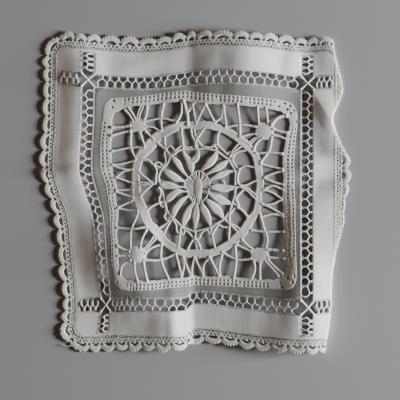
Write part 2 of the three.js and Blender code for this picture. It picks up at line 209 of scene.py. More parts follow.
@dataclass
class LaidCloth:
    """The shape in which the doily lies: flat work in millimetres goes in, places in metres come out."""

    left_pull: Line = (
        (-105, 12), (-80, 14.5), (-52, 11.2), (-20, 8), (0, 1.5), (16, -2.6), (52, -1), (105, 0),
    )
    right_pull: Line = ((-105, -1.5), (105, -0.7))
    top_pull: Line = (
        (-105, 3.7), (-50, -0.7), (-28, 0), (0, 3.7), (20, 4.5), (50, 2.6), (80, -0.8), (105, 0.7),
    )
    bottom_pull: Line = (
        (-105, -4.5), (-52, -3.7), (-10, -3.7), (-3, 1), (10, 1.2), (32, -1.5), (52, -4), (80, -6), (105, -5),
    )
    turn_width: Line = (
        (-119, 22), (-97, 17.4), (-82, 15.6), (-61, 14.5), (-45, 13), (-25, 13), (-7, 12), (16, 0),
        (31, 6.4), (45, 12.4), (55, 14.8), (65, 10.4), (76, 7), (98, 12), (116, 15.5),
    )
    turn_radius: Line = (
        (-119, 1.5), (-97, 1.5), (-82, 1.5), (-61, 1.5), (-45, 3), (-25, 8), (-7, 9), (16, 4),
        (31, 1.9), (45, 1.9), (55, 1.9), (65, 1.7), (76, 1.5), (98, 1.5), (116, 1.5),
    )
    ridges: tuple[Ridge, ...] = (
        Ridge(76, -42, 90, 80, 15, 2.8, 30), Ridge(90, 72, 115, 38, 19, 1.2),
        Ridge(-20, -94, 95, 56, 30, 2.1, 17), Ridge(-20, -94, 95, 56, 74, 3.5, 17),
        Ridge(36, 92, 84, 52, 46, 4.2, 48), Ridge(36, 92, 84, 52, 92, 3.4, 48),
        Ridge(78, -98, 90, 75, 34, 2.2, 36), Ridge(-86, 92, 95, 46, 24, 2.1),
        Ridge(78, -98, 90, 75, 86, 6.4, 36), Ridge(-47, -48, 97, 56, 56, 5.2, 26),
        Ridge(-82, 16, 0, 46, 7, 1.2), Ridge(72, 14, 20, 40, 10, 0.8),
    )
    soft_ridges: tuple[Ridge, ...] = (
        Ridge(-17, 10, 90, 150, 13, 0.7), Ridge(10, 0, 92, 150, 14, 0.6), Ridge(-40, 96, 8, 30, 9, 0.7),
        Ridge(-87, 40, 88, 75, 20, 2.2, 10), Ridge(-82, -44, 97, 50, 26, 2.0, 30),
        Ridge(70, 94, 80, 30, 8, 0.8), Ridge(-36, -8, 92, 60, 18, 1.4, 16),
    )
    creases: tuple[Crease, ...] = (
        Crease((-62, 15), (-112, 15), 1.0, 7, 5), Crease((-7, -52), (-7, -118), 1.3, 4.5, 17),
        Crease((80, 82), (103, 50), 0.9, 12, 9), Crease((2, 62), (0, 118), 0.22, 5, 16),
    )
    pull_from: float = 40
    pull_to: float = 90
    band_shift: float = 2.1
    band_middle: float = 83
    band_reach: float = 21
    turn_lift: float = 1.8
    turn_full: float = 6
    turn_run: float = 24
    shift: Point = (1.86, 0.74)
    puckers: int = 28
    pucker_lengths: Point = (8, 34)
    pucker_height: float = 0.15
    pucker_contrast: float = 2.6
    probe: float = 0.05
    search_rounds: int = 20

    def __post_init__(self) -> None:
        """Draws the small puckers that hand work leaves."""
        rng = np.random.default_rng(SEED)
        heading = rng.uniform(0, 2 * np.pi, self.puckers)
        length = rng.uniform(*self.pucker_lengths, self.puckers)
        self._waves = np.stack([np.cos(heading), np.sin(heading)]) * (2 * np.pi / length)
        self._phase = rng.uniform(0, 2 * np.pi, self.puckers)
        self._weight = length / length.sum()

    def pucker(self, u: Array, v: Array) -> Array:
        """Gives the small uneven rise at flat places, never below the table."""
        waves = np.cos(np.outer(u, self._waves[0]) + np.outer(v, self._waves[1]) + self._phase)
        return self.pucker_height * np.clip(1 + self.pucker_contrast * waves @ self._weight, 0, None)

    def middle(self, u: Array, v: Array) -> Array:
        """Lays the middle of the sheet.

        Args:
            u: Flat places across.
            v: Flat places along.

        Returns:
            One row of x, y, z in millimetres for each place.
        """
        line = SCALLOP_HALF - np.maximum(0, through(self.turn_width, v))
        beyond = np.maximum(0, u - line)
        fu = np.minimum(u, line)

        def fade(s: Array) -> Array:
            """Gives how much of a side's pull reaches a place."""
            return ease(s, self.pull_from, self.pull_to)

        x = fu + through(self.left_pull, v) * fade(-fu) + through(self.right_pull, v) * fade(fu)
        beside = np.clip((fu - self.band_middle) / self.band_reach, -1, 1)
        x = x + self.band_shift * np.cos(np.pi / 2 * beside) ** 2
        y = v + through(self.top_pull, fu) * fade(v) + through(self.bottom_pull, fu) * fade(-v)
        lift = self.turn_lift * ease(SCALLOP_HALF - line, 0, self.turn_full)
        z = lift * ease(fu, line - self.turn_run, line) + self.pucker(fu, v)
        for rise in (*self.ridges, *self.soft_ridges, *self.creases):
            z = z + rise.height(fu, v)
        radius = through(self.turn_radius, v)
        angle = np.minimum(beyond / radius, np.pi)
        back = np.maximum(0, beyond - np.pi * radius)
        return np.stack(
            [
                x + radius * np.sin(angle) - back + self.shift[0],
                y + self.shift[1],
                z * (1 + np.cos(angle)) / 2 + SHEET / 2,
            ],
            axis=1,
        )

    def lay(self, flat: Array) -> Array:
        """Lays flat work on the table, pressed flat where it would go through.

        Args:
            flat: Rows of u, v and the height over the middle of the sheet, in millimetres.

        Returns:
            Rows of x, y, z in metres.
        """
        u, v, w = flat.T
        at = self.middle(u, v)
        normal = np.cross(self.middle(u + self.probe, v) - at, self.middle(u, v + self.probe) - at)
        normal /= np.linalg.norm(normal, axis=1, keepdims=True)
        w = np.where(normal[:, 2] < 0, np.minimum(w, PRESSED), np.maximum(w, -PRESSED))
        return (at + w[:, None] * normal) * MM

    def under(self, pixel: Array) -> Array:
        """Finds the flat places that lie under pixels of the picture.

        Args:
            pixel: Rows of pixels, across and down.

        Returns:
            Rows of u, v in millimetres.
        """
        aim = (pixel - np.array(PICTURE_MIDDLE)) * np.array([PIXEL, -PIXEL]) + np.array(self.shift)
        flat = aim.copy()
        for _ in range(self.search_rounds):
            flat = flat + aim - self.middle(flat[:, 0], flat[:, 1])[:, :2]
        return flat


class Nodes:
    """A short way to add and join shader nodes."""

    def __init__(self, material: bpy.types.Material) -> None:
        """Clears the material's tree.

        Args:
            material: The material.
        """
        material.use_nodes = True
        self.tree = material.node_tree
        self.tree.nodes.clear()

    def add(self, kind: str, **settings: object) -> bpy.types.ShaderNode:
        """Adds a node.

        Args:
            kind: The node's type.
            settings: Its properties by name.

        Returns:
            The node.
        """
        node = self.tree.nodes.new(kind)
        for key, value in settings.items():
            setattr(node, key, value)
        return node

    def join(self, source: Socket, target: Socket) -> None:
        """Joins two sockets."""
        self.tree.links.new(source, target)

    def noise(self, vector: Socket, scale: float, detail: float = 3) -> Socket:
        """Adds a noise pattern.

        Args:
            vector: The coordinates that it follows.
            scale: Its scale.
            detail: Its detail.

        Returns:
            Its value.
        """
        node = self.add("ShaderNodeTexNoise")
        node.inputs["Scale"].default_value = scale
        node.inputs["Detail"].default_value = detail
        self.join(vector, node.inputs["Vector"])
        return node.outputs["Fac"]

    def stretched(self, vector: Socket, scale: Sequence[float]) -> Socket:
        """Adds a mapping that stretches a pattern.

        Args:
            vector: The coordinates.
            scale: How much they grow each way.

        Returns:
            The stretched coordinates.
        """
        node = self.add("ShaderNodeMapping")
        node.inputs["Scale"].default_value = scale
        self.join(vector, node.inputs["Vector"])
        return node.outputs["Vector"]

    def patches(self, cloth: Socket, size: Point, detail: float) -> Socket:
        """Adds a noise pattern on the cloth's flat map.

        Args:
            cloth: The map.
            size: How far a patch runs across and along, in millimetres.
            detail: Its detail.

        Returns:
            Its value.
        """
        return self.noise(self.stretched(cloth, (MAP_UNIT / size[0], MAP_UNIT / size[1], 1)), 1.0, detail)

    def math(self, operation: str, a: Socket, b: Socket | float, c: Socket | float | None = None) -> Socket:
        """Adds a sum of two or three values.

        Args:
            operation: The kind of sum.
            a: The first value.
            b: The second value.
            c: The third value, where the sum has one.

        Returns:
            The result.
        """
        node = self.add("ShaderNodeMath", operation=operation)
        for socket, value in zip(node.inputs, (a, b, c)):
            if isinstance(value, Socket):
                self.join(value, socket)
            elif value is not None:
                socket.default_value = value
        return node.outputs["Value"]

    def ramp(self, value: Socket, stops: Sequence[tuple[float, Colour]]) -> Socket:
        """Adds a colour ramp.

        Args:
            value: The value that runs along it.
            stops: Its colours, each with its place.

        Returns:
            The colour.
        """
        node = self.add("ShaderNodeValToRGB")
        elements = node.color_ramp.elements
        while len(elements) < len(stops):
            elements.new(1.0)
        for element, (place, colour) in zip(elements, stops):
            element.position = place
            element.color = (*colour, 1)
        self.join(value, node.inputs["Fac"])
        return node.outputs["Color"]

    def darkened(self, colour: Socket, by: Socket, share: float) -> Socket:
        """Darkens a colour by another one.

        Args:
            colour: The colour.
            by: The colour that it is multiplied by.
            share: How much of that is taken.

        Returns:
            The darker colour.
        """
        node = self.add("ShaderNodeMix", data_type="RGBA", blend_type="MULTIPLY")
        factor, first, second = node.inputs[0], node.inputs[6], node.inputs[7]
        factor.default_value = share
        self.join(colour, first)
        self.join(by, second)
        return node.outputs[2]

    def surface(self, colour: Socket, **values: float) -> bpy.types.ShaderNode:
        """Adds the surface and joins it to the output.

        Args:
            colour: Its colour.
            values: Its other inputs by name, with underscores for spaces.

        Returns:
            The surface.
        """
        shader = self.add("ShaderNodeBsdfPrincipled")
        for key, value in values.items():
            shader.inputs[key.replace("_", " ")].default_value = value
        self.join(colour, shader.inputs["Base Color"])
        self.join(shader.outputs["BSDF"], self.add("ShaderNodeOutputMaterial").inputs["Surface"])
        return shader

    def relief(self, height: Socket, strength: float, distance: float, shader: bpy.types.ShaderNode) -> None:
        """Gives a surface its relief.

        Args:
            height: The height of each place.
            strength: How much of it shows.
            distance: Its full height, in metres.
            shader: The surface.
        """
        bump = self.add("ShaderNodeBump")
        bump.inputs["Strength"].default_value = strength
        bump.inputs["Distance"].default_value = distance
        self.join(height, bump.inputs["Height"])
        self.join(bump.outputs["Normal"], shader.inputs["Normal"])


@dataclass(frozen=True)
class ClothFinish:
    """Plain-woven linen: single threads that vary, faint age marks and a soft nap."""

    name: str
    light: Colour
    shade: Colour
    thread: float
    opacity: float = 1.0
    bump: float = 0.09
    bump_height: float = 0.0003
    thread_run: float = 26
    slub: Point = (1.7, 2.2)
    slub_run: float = 60
    age: float = 34
    between: Colour = (0.84, 0.83, 0.81)

    def material(self) -> bpy.types.Material:
        """Builds the finish.

        Returns:
            A node material that follows the cloth's own flat map.
        """
        material = bpy.data.materials.new(self.name)
        n = Nodes(material)
        cloth = n.add("ShaderNodeUVMap", uv_map=CLOTH_UV).outputs["UV"]
        across = n.patches(cloth, (self.thread, self.thread_run), 2)
        along = n.patches(cloth, (self.thread_run, self.thread), 2)
        slub_across = n.patches(cloth, (self.slub[0], self.slub_run), 4)
        slub_along = n.patches(cloth, (self.slub_run, self.slub[1]), 4)
        age = n.patches(cloth, (self.age, self.age), 5)
        threads = n.math("ADD", across, along)
        slubs = n.math("ADD", slub_across, slub_along)
        tone = n.math("MULTIPLY_ADD", slubs, 0.42, n.math("MULTIPLY", age, 0.55))
        colour = n.ramp(tone, ((0.32, self.shade), (0.86, self.light)))
        fine = n.ramp(threads, ((0.55, self.between), (1.2, (1, 1, 1))))
        shader = n.surface(
            n.darkened(colour, fine, 0.85),
            Roughness=0.88,
            Sheen_Weight=0.12,
            Sheen_Roughness=0.5,
            Specular_IOR_Level=0.2,
            Alpha=self.opacity,
        )
        height = n.math("MULTIPLY_ADD", slubs, 0.5, n.math("MULTIPLY", threads, 0.8))
        n.relief(height, self.bump, self.bump_height, shader)
        return material


@dataclass(frozen=True)
class ThreadFinish:
    """Worked thread: close stitches that stand up, with painted shade between them, a little fluff and uneven
    bleaching.
    """

    name: str
    light: Colour
    shade: Colour
    stitch: float
    bump: float = 0.22
    bump_height: float = 0.0004
    stitch_share: float = 0.6
    fluff: float = 3600
    age: float = 22
    # The colour of the painted shade between the stitches.
    between: Colour = (0.84, 0.82, 0.79)

    def material(self) -> bpy.types.Material:
        """Builds the finish.

        Returns:
            A node material of stitches on the flat map and fluff on the object's own coordinates.
        """
        material = bpy.data.materials.new(self.name)
        n = Nodes(material)
        cloth = n.add("ShaderNodeUVMap", uv_map=CLOTH_UV).outputs["UV"]
        solid = n.add("ShaderNodeTexCoord").outputs["Object"]
        age = n.patches(cloth, (self.age, self.age), 5)
        fluff = n.noise(n.stretched(solid, (self.fluff, self.fluff, self.fluff)), 1.0)
        stitches = n.add("ShaderNodeTexVoronoi", feature="F1")
        stitches.inputs["Scale"].default_value = 1.0
        size = (MAP_UNIT / self.stitch, self.stitch_share * MAP_UNIT / self.stitch, 1)
        n.join(n.stretched(cloth, size), stitches.inputs["Vector"])
        apart = stitches.outputs["Distance"]
        tone = n.math("MULTIPLY_ADD", fluff, 0.35, n.math("MULTIPLY", age, 0.75))
        colour = n.ramp(tone, ((0.34, self.shade), (0.72, self.light)))
        # Painted shade: darker away from each stitch's middle, where the relief is low.
        between = n.ramp(apart, ((0.25, (1, 1, 1)), (0.8, self.between)))
        shader = n.surface(
            n.darkened(colour, between, 0.8),
            Roughness=0.85,
            Sheen_Weight=0.15,
            Sheen_Roughness=0.45,
            Specular_IOR_Level=0.25,
        )
        height = n.math("MULTIPLY_ADD", apart, -1.0, n.math("MULTIPLY", fluff, 0.35))
        n.relief(height, self.bump, self.bump_height, shader)
        return material


@dataclass
class Finishes:
    """Every finish of the doily, made once."""

    linen: ClothFinish = ClothFinish("bleached_linen", (0.93, 0.925, 0.91), (0.74, 0.71, 0.67), 0.5)
    sheer: ClothFinish = ClothFinish("thin_linen", (0.46, 0.45, 0.43), (0.33, 0.31, 0.28), 0.6, 0.62, 0.25)
    drawn: ThreadFinish = ThreadFinish("drawn_thread", (0.95, 0.94, 0.92), (0.82, 0.79, 0.74), 0.5)
    lace: ThreadFinish = ThreadFinish("needle_lace_thread", (0.93, 0.92, 0.90), (0.64, 0.58, 0.52), 0.45)
    edging: ThreadFinish = ThreadFinish("edging_cotton", (0.93, 0.92, 0.89), (0.71, 0.68, 0.62), 0.48)

    def __post_init__(self) -> None:
        """Makes the materials."""
        self.made = {
            finish.name: finish.material()
            for finish in (self.linen, self.sheer, self.drawn, self.lace, self.edging)
        }

    def of(self, finish: ClothFinish | ThreadFinish) -> bpy.types.Material:
        """Gives a finish's material."""
        return self.made[finish.name]


@dataclass
class Workshop:
    """Lays flat meshes on the table and hands them to the frame."""

    cloth: LaidCloth
    finishes: Finishes

    def place(
        self, mesh: bpy.types.Mesh, node: Node, slot: Slot, finish: ClothFinish | ThreadFinish
    ) -> Piece:
        """Lays a flat mesh, gives it its map and finish and makes it ride.

        Args:
            mesh: The flat mesh, in millimetres.
            node: The solid that it stands for.
            slot: The record's slot of its finish; not used.
            finish: Its finish.

        Returns:
            The piece.
        """
        flat = np.empty(len(mesh.vertices) * 3)
        mesh.vertices.foreach_get("co", flat)
        flat = flat.reshape(-1, 3)
        corner = np.empty(len(mesh.loops), dtype=np.int32)
        mesh.loops.foreach_get("vertex_index", corner)
        while mesh.uv_layers:
            mesh.uv_layers.remove(mesh.uv_layers[0])
        layer = mesh.uv_layers.new(name=CLOTH_UV)
        layer.data.foreach_set("uv", (flat[corner, :2] / MAP_UNIT).ravel())
        mesh.vertices.foreach_set("co", self.cloth.lay(flat).ravel())
        mesh.polygons.foreach_set("use_smooth", [True] * len(mesh.polygons))
        mesh.materials.clear()
        mesh.materials.append(self.finishes.of(finish))
        mesh.update()
        piece = bpy.data.objects.new(mesh.name, mesh)
        bpy.context.scene.collection.objects.link(piece)
        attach(piece, "root")
        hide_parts(node.value)
        log.info("%s: %d faces", piece.name, len(mesh.polygons))
        return piece


def mesh_of(work: Work, name: str) -> bpy.types.Mesh:
    """Turns finished flat work into a mesh with its faces outwards.

    Args:
        work: The work, which is used up.
        name: The mesh's name.

    Returns:
        The mesh.
    """
    bmesh.ops.recalc_face_normals(work, faces=work.faces)
    mesh = bpy.data.meshes.new(name)
    work.to_mesh(mesh)
    work.free()
    return mesh


def gather(whole: Work, work: Work) -> None:
    """Adds finished flat work to other work.

    Args:
        whole: Takes the work.
        work: The work, which is used up.
    """
    mesh = mesh_of(work, "part")
    whole.from_mesh(mesh)
    bpy.data.meshes.remove(mesh)


def thicken(work: Work, thickness: float, weld: float = 0.0) -> None:
    """Gives a flat sheet its thickness, downwards, with closed edges.

    Args:
        work: The sheet.
        thickness: Its thickness, in millimetres.
        weld: How near corners are joined first, 0 to leave them.
    """
    if weld:
        bmesh.ops.remove_doubles(work, verts=work.verts, dist=weld)
    grown = bmesh.ops.extrude_face_region(work, geom=list(work.faces), use_keep_orig=True)
    lower = [v for v in grown["geom"] if isinstance(v, bmesh.types.BMVert)]
    bmesh.ops.translate(work, verts=lower, vec=Vector((0, 0, -thickness)))


def grid(columns: int, rows: int, shape: Callable[[Array, Array], Array]) -> Work:
    """Makes a sheet of quads and shapes it.

    Args:
        columns: Quads across.
        rows: Quads along.
        shape: Takes the column and row of every corner and gives rows of u, v, height.

    Returns:
        The shaped sheet.
    """
    work = bmesh.new()
    bmesh.ops.create_grid(work, x_segments=columns, y_segments=rows, size=0.5)
    at = np.array([v.co[:] for v in work.verts])
    column = np.rint((at[:, 0] + 0.5) * columns).astype(int)
    row = np.rint((at[:, 1] + 0.5) * rows).astype(int)
    places = shape(column, row)
    for vert, place in zip(work.verts, places):
        vert.co = place
    return work


class Threads:
    """Round threads and bars, drawn flat and swept together into one mesh."""

    def __init__(self) -> None:
        """Starts with no threads."""
        self.runs: list[tuple[Array, Array]] = []

    def add(self, points: Array, radius: float | Array) -> None:
        """Adds a thread through points, with one thickness or one for each point."""
        points = np.asarray(points, dtype=float)
        self.runs.append((points, np.broadcast_to(np.asarray(radius, dtype=float), len(points)).copy()))

    def mesh(self, name: str, roundness: int, press: float = 1.0) -> bpy.types.Mesh:
        """Sweeps every thread.

        Args:
            name: The mesh's name.
            roundness: The curve's bevel steps, 0 for four sides.
            press: How high the threads stay when pressed flat, 1 for round.

        Returns:
            The flat mesh.
        """
        curve = bpy.data.curves.new(name, "CURVE")
        curve.dimensions = "3D"
        curve.bevel_depth = 1.0
        curve.bevel_resolution = roundness
        curve.use_fill_caps = True
        for points, radius in self.runs:
            spline = curve.splines.new("POLY")
            spline.points.add(len(points) - 1)
            raised = np.c_[points[:, :2], points[:, 2] / press, np.ones(len(points))]
            spline.points.foreach_set("co", raised.ravel())
            spline.points.foreach_set("radius", radius)
        holder = bpy.data.objects.new(name, curve)
        swept = bpy.data.meshes.new_from_object(holder)
        bpy.data.objects.remove(holder)
        bpy.data.curves.remove(curve)
        swept.transform(Matrix.Diagonal((1, 1, press, 1)))
        swept.name = name
        return swept


def spaced(points: Array, count: int) -> Array:
    """Divides a line evenly.

    Args:
        points: The line's points.
        count: How many steps it is divided into.

    Returns:
        One more point than steps.
    """
    length = np.r_[0, np.cumsum(np.linalg.norm(np.diff(points, axis=0), axis=1))]
    at = np.linspace(0, length[-1], count + 1)
    return np.stack([np.interp(at, length, column) for column in points.T], axis=1)


def resampled(points: Array, step: float) -> Array:
    """Puts points along a line at even steps.

    Args:
        points: The line's points.
        step: About how long each step is.

    Returns:
        The new points.
    """
    points = np.asarray(points, dtype=float)
    length = np.linalg.norm(np.diff(points, axis=0), axis=1).sum()
    return spaced(points, max(1, int(round(length / step))))


def rounded(points: Array, steps: int = 4) -> Array:
    """Runs a smooth line through a few points.

    Args:
        points: The points.
        steps: Steps between one point and the next.

    Returns:
        Points along the smooth line.
    """
    points = np.asarray(points, dtype=float)
    ends = np.vstack([2 * points[0] - points[1], points, 2 * points[-1] - points[-2]])
    t = np.arange(steps)[:, None] / steps
    out = []
    for a, b, c, d in zip(ends, ends[1:], ends[2:], ends[3:]):
        out.append(b + 0.5 * t * ((c - a) + t * ((2 * a - 5 * b + 4 * c - d) + t * (3 * b - a - 3 * c + d))))
    return np.vstack([*out, points[-1:]])


def arched(start: Point, end: Point, bow: float, height: float) -> Array:
    """Draws a bar between two places.

    Args:
        start: Where it starts.
        end: Where it ends.
        bow: How far its middle lies to the left.
        height: Its height over the sheet's middle.

    Returns:
        Rows of u, v, height.
    """
    steps = 6
    a, b = np.array(start, dtype=float), np.array(end, dtype=float)
    t = np.linspace(0, 1, steps + 1)[:, None]
    side = np.array([-(b - a)[1], (b - a)[0]])
    side /= np.linalg.norm(side)
    line = a + (b - a) * t + side * bow * np.sin(np.pi * t)
    return np.c_[line, np.full(len(line), height)]


def wavy(count: int, waves: int, rng: Rng) -> Array:
    """Gives an uneven closed line.

    Args:
        count: How many values it has.
        waves: The most waves round it.
        rng: Gives the unevenness of hand work.

    Returns:
        Values mostly between -1 and 1.
    """
    summed, usual_height = 6, 2.6
    angle = np.linspace(0, 2 * np.pi, count, endpoint=False)
    rate = rng.integers(max(1, waves // 2), waves + 1, summed)
    phase = rng.uniform(0, 2 * np.pi, summed)
    return np.sin(np.outer(angle, rate) + phase).sum(axis=1) / usual_height


@dataclass(frozen=True)
class Reading:
    """An enlarged part of the picture on which places of the lace were read."""

    origin: Point
    enlarged: float

    def flat(self, cloth: LaidCloth, places: Sequence[Point]) -> Array:
        """Finds the flat work under places of the picture.

        Args:
            cloth: The lying shape.
            places: Places on the enlarged part, across and down.

        Returns:
            Rows of u, v in millimetres.
        """
        pixel = np.array(places, dtype=float) / self.enlarged + np.array(self.origin)
        return cloth.under(pixel)


TOP_LEFT = Reading((30, 20), 8.476)
TOP_RIGHT = Reading((190, 20), 8.476)
LOW_LEFT = Reading((30, 180), 8.476)
LOW_RIGHT = Reading((190, 180), 8.476)
WHOLE = Reading((0, 0), 1.0)


@dataclass
class FrameLines:
    """The uneven frame of the lace, in eight runs from the top right corner round by the left.

    Its edges were read on the picture, the outer and the inner one of each run.
    """

    cloth: LaidCloth
    edges: tuple[Line, ...] = (
        ((297, 124), (297, 115), (294, 107), (288, 102.3), (276, 99.8)),
        ((289.5, 124), (288.3, 119.5), (285.5, 115.5), (281, 112), (276, 110.2)),
        (
            (276, 99.8), (267, 99), (257, 98), (247, 97.2), (237, 96.3), (227, 95.5), (217, 94.6),
            (207, 93.7), (198, 92.8), (192, 91.9), (187, 91), (181, 91.3), (172, 92), (162, 93.2),
            (152, 94.8), (142, 96.2), (132, 97), (122, 97.8),
        ),
        (
            (276, 110.2), (266, 109), (256, 107.6), (246, 106.2), (236, 105.5), (226, 105), (214, 104.4),
            (204, 103.5), (193, 103.1), (185, 100.8), (177, 102.2), (165, 102.8), (155, 104), (146, 105.5),
            (137, 106.2), (127, 107.5), (122, 109.8),
        ),
        ((122, 97.8), (112, 98.6), (106.5, 102), (103.6, 109), (102.4, 121)),
        ((122, 109.8), (118, 111), (114.5, 113.8), (112.6, 117.5), (112, 121)),
        (
            (102.4, 121), (101.6, 129), (100.7, 139), (100.1, 149), (100, 159), (100.6, 168), (102.6, 175),
            (105, 183), (106.8, 191), (108, 201), (109.1, 212), (109.9, 223), (110.5, 234), (111.2, 245),
            (111.8, 256), (112.6, 267),
        ),
        (
            (112, 121), (112, 130), (111.7, 139), (111.3, 147), (111, 155), (111.5, 163), (112.6, 170),
            (114.7, 178), (116.5, 186), (115.8, 194), (116.3, 202), (117.9, 210), (118, 220), (117.6, 229),
            (117.2, 237), (118, 245), (118.2, 253), (118.8, 262), (119.2, 267),
        ),
        ((112.6, 267), (113.4, 276), (115.3, 283.5), (120, 288.5), (129, 290.2)),
        ((119.2, 267), (120.2, 272), (122.5, 276.5), (125.5, 279), (129, 280)),
        (
            (129, 290.2), (134, 290.3), (144, 289.8), (154, 289.2), (164, 288.3), (174, 287.2), (183, 286.2),
            (191, 285.2), (200, 285), (211, 285.3), (222, 285.8), (233, 286.3), (244, 286.9), (255, 287.5),
            (265, 288), (273, 288.4),
        ),
        (
            (129, 280), (136, 280.3), (147, 280.3), (158, 280), (169, 278.8), (178, 277.3), (188, 276.3),
            (198, 275.8), (209, 276), (220, 276), (232, 276.2), (243, 277.5), (253, 278.3), (262, 279.2),
            (273, 279.3),
        ),
        ((273, 288.4), (286, 289), (292.5, 286), (295.6, 279), (296, 266)),
        ((273, 279.3), (278, 278.3), (282, 275), (284.8, 271), (285.5, 266)),
        (
            (296, 266), (295.6, 256), (295.4, 246), (295.2, 236), (295.1, 224), (295, 212), (294.8, 200),
            (294.3, 190), (294, 180), (293.8, 170), (293.8, 160), (294.4, 150), (295.3, 140), (296.4, 131),
            (297, 124),
        ),
        (
            (285.5, 266), (284.7, 260), (283.4, 252), (284, 244), (283.8, 234), (282.8, 222), (282.8, 210),
            (281.9, 200), (282.5, 192), (282.7, 182), (282.5, 172), (282.2, 162), (283, 153), (284.5, 145),
            (286, 136), (288.5, 130), (289.5, 124),
        ),
    )
    fine: int = 160

    def __post_init__(self) -> None:
        """Lays both edges back on the flat work and adds the drawn band's edge outside them."""
        half = BAND_INNER_HALF
        bands, outers, inners = [], [], []
        for k, (outer, inner) in enumerate(zip(self.edges[::2], self.edges[1::2])):
            lines = [rounded(WHOLE.flat(self.cloth, line), 8) for line in (outer, inner)]
            first, last = lines[0][0], lines[0][-1]
            reach = [np.where(np.abs(p) == np.abs(p).max(), np.sign(p) * half, p) for p in (first, last)]
            band = [reach[0], np.sign(first + last) * half, reach[1]] if k % 2 == 0 else reach
            for kept, line in zip((bands, outers, inners), (np.array(band), *lines)):
                kept.append(spaced(line, self.fine))
        self._lines = np.array([bands, outers, inners])

    def place(self, along: Array, share: Array) -> Array:
        """Gives places in the frame and in the strip outside it.

        Args:
            along: Runs round the frame, eight in all.
            share: -1 at the drawn band, 0 at the frame's outer edge, 1 at its inner.

        Returns:
            Rows of u, v.
        """
        along = along % 8
        run = along.astype(int)
        at = (along - run) * self.fine
        low = np.minimum(at.astype(int), self.fine - 1)
        part = (at - low)[:, None]
        band, outer, inner = (
            line[run, low] * (1 - part) + line[run, low + 1] * part for line in self._lines
        )
        share = share[:, None]
        return np.where(share < 0, outer + (outer - band) * share, outer + (inner - outer) * share)

    def stations(self, in_corner: int, in_side: int, steps: Sequence[float]) -> tuple[Array, Array]:
        """Gives even stations round the frame.

        Args:
            in_corner: Cells in each corner.
            in_side: Cells in each side.
            steps: Stations in each cell.

        Returns:
            The stations, in runs, closed by the first one, and each station's cell length.
        """
        places, cells = [], []
        for run in range(8):
            count = in_side if run % 2 else in_corner
            for k in range(count):
                places.extend(run + (k + step) / count for step in steps)
                cells.extend([1 / count] * len(steps))
        return np.array([*places, 8.0]), np.array([*cells, cells[0]])


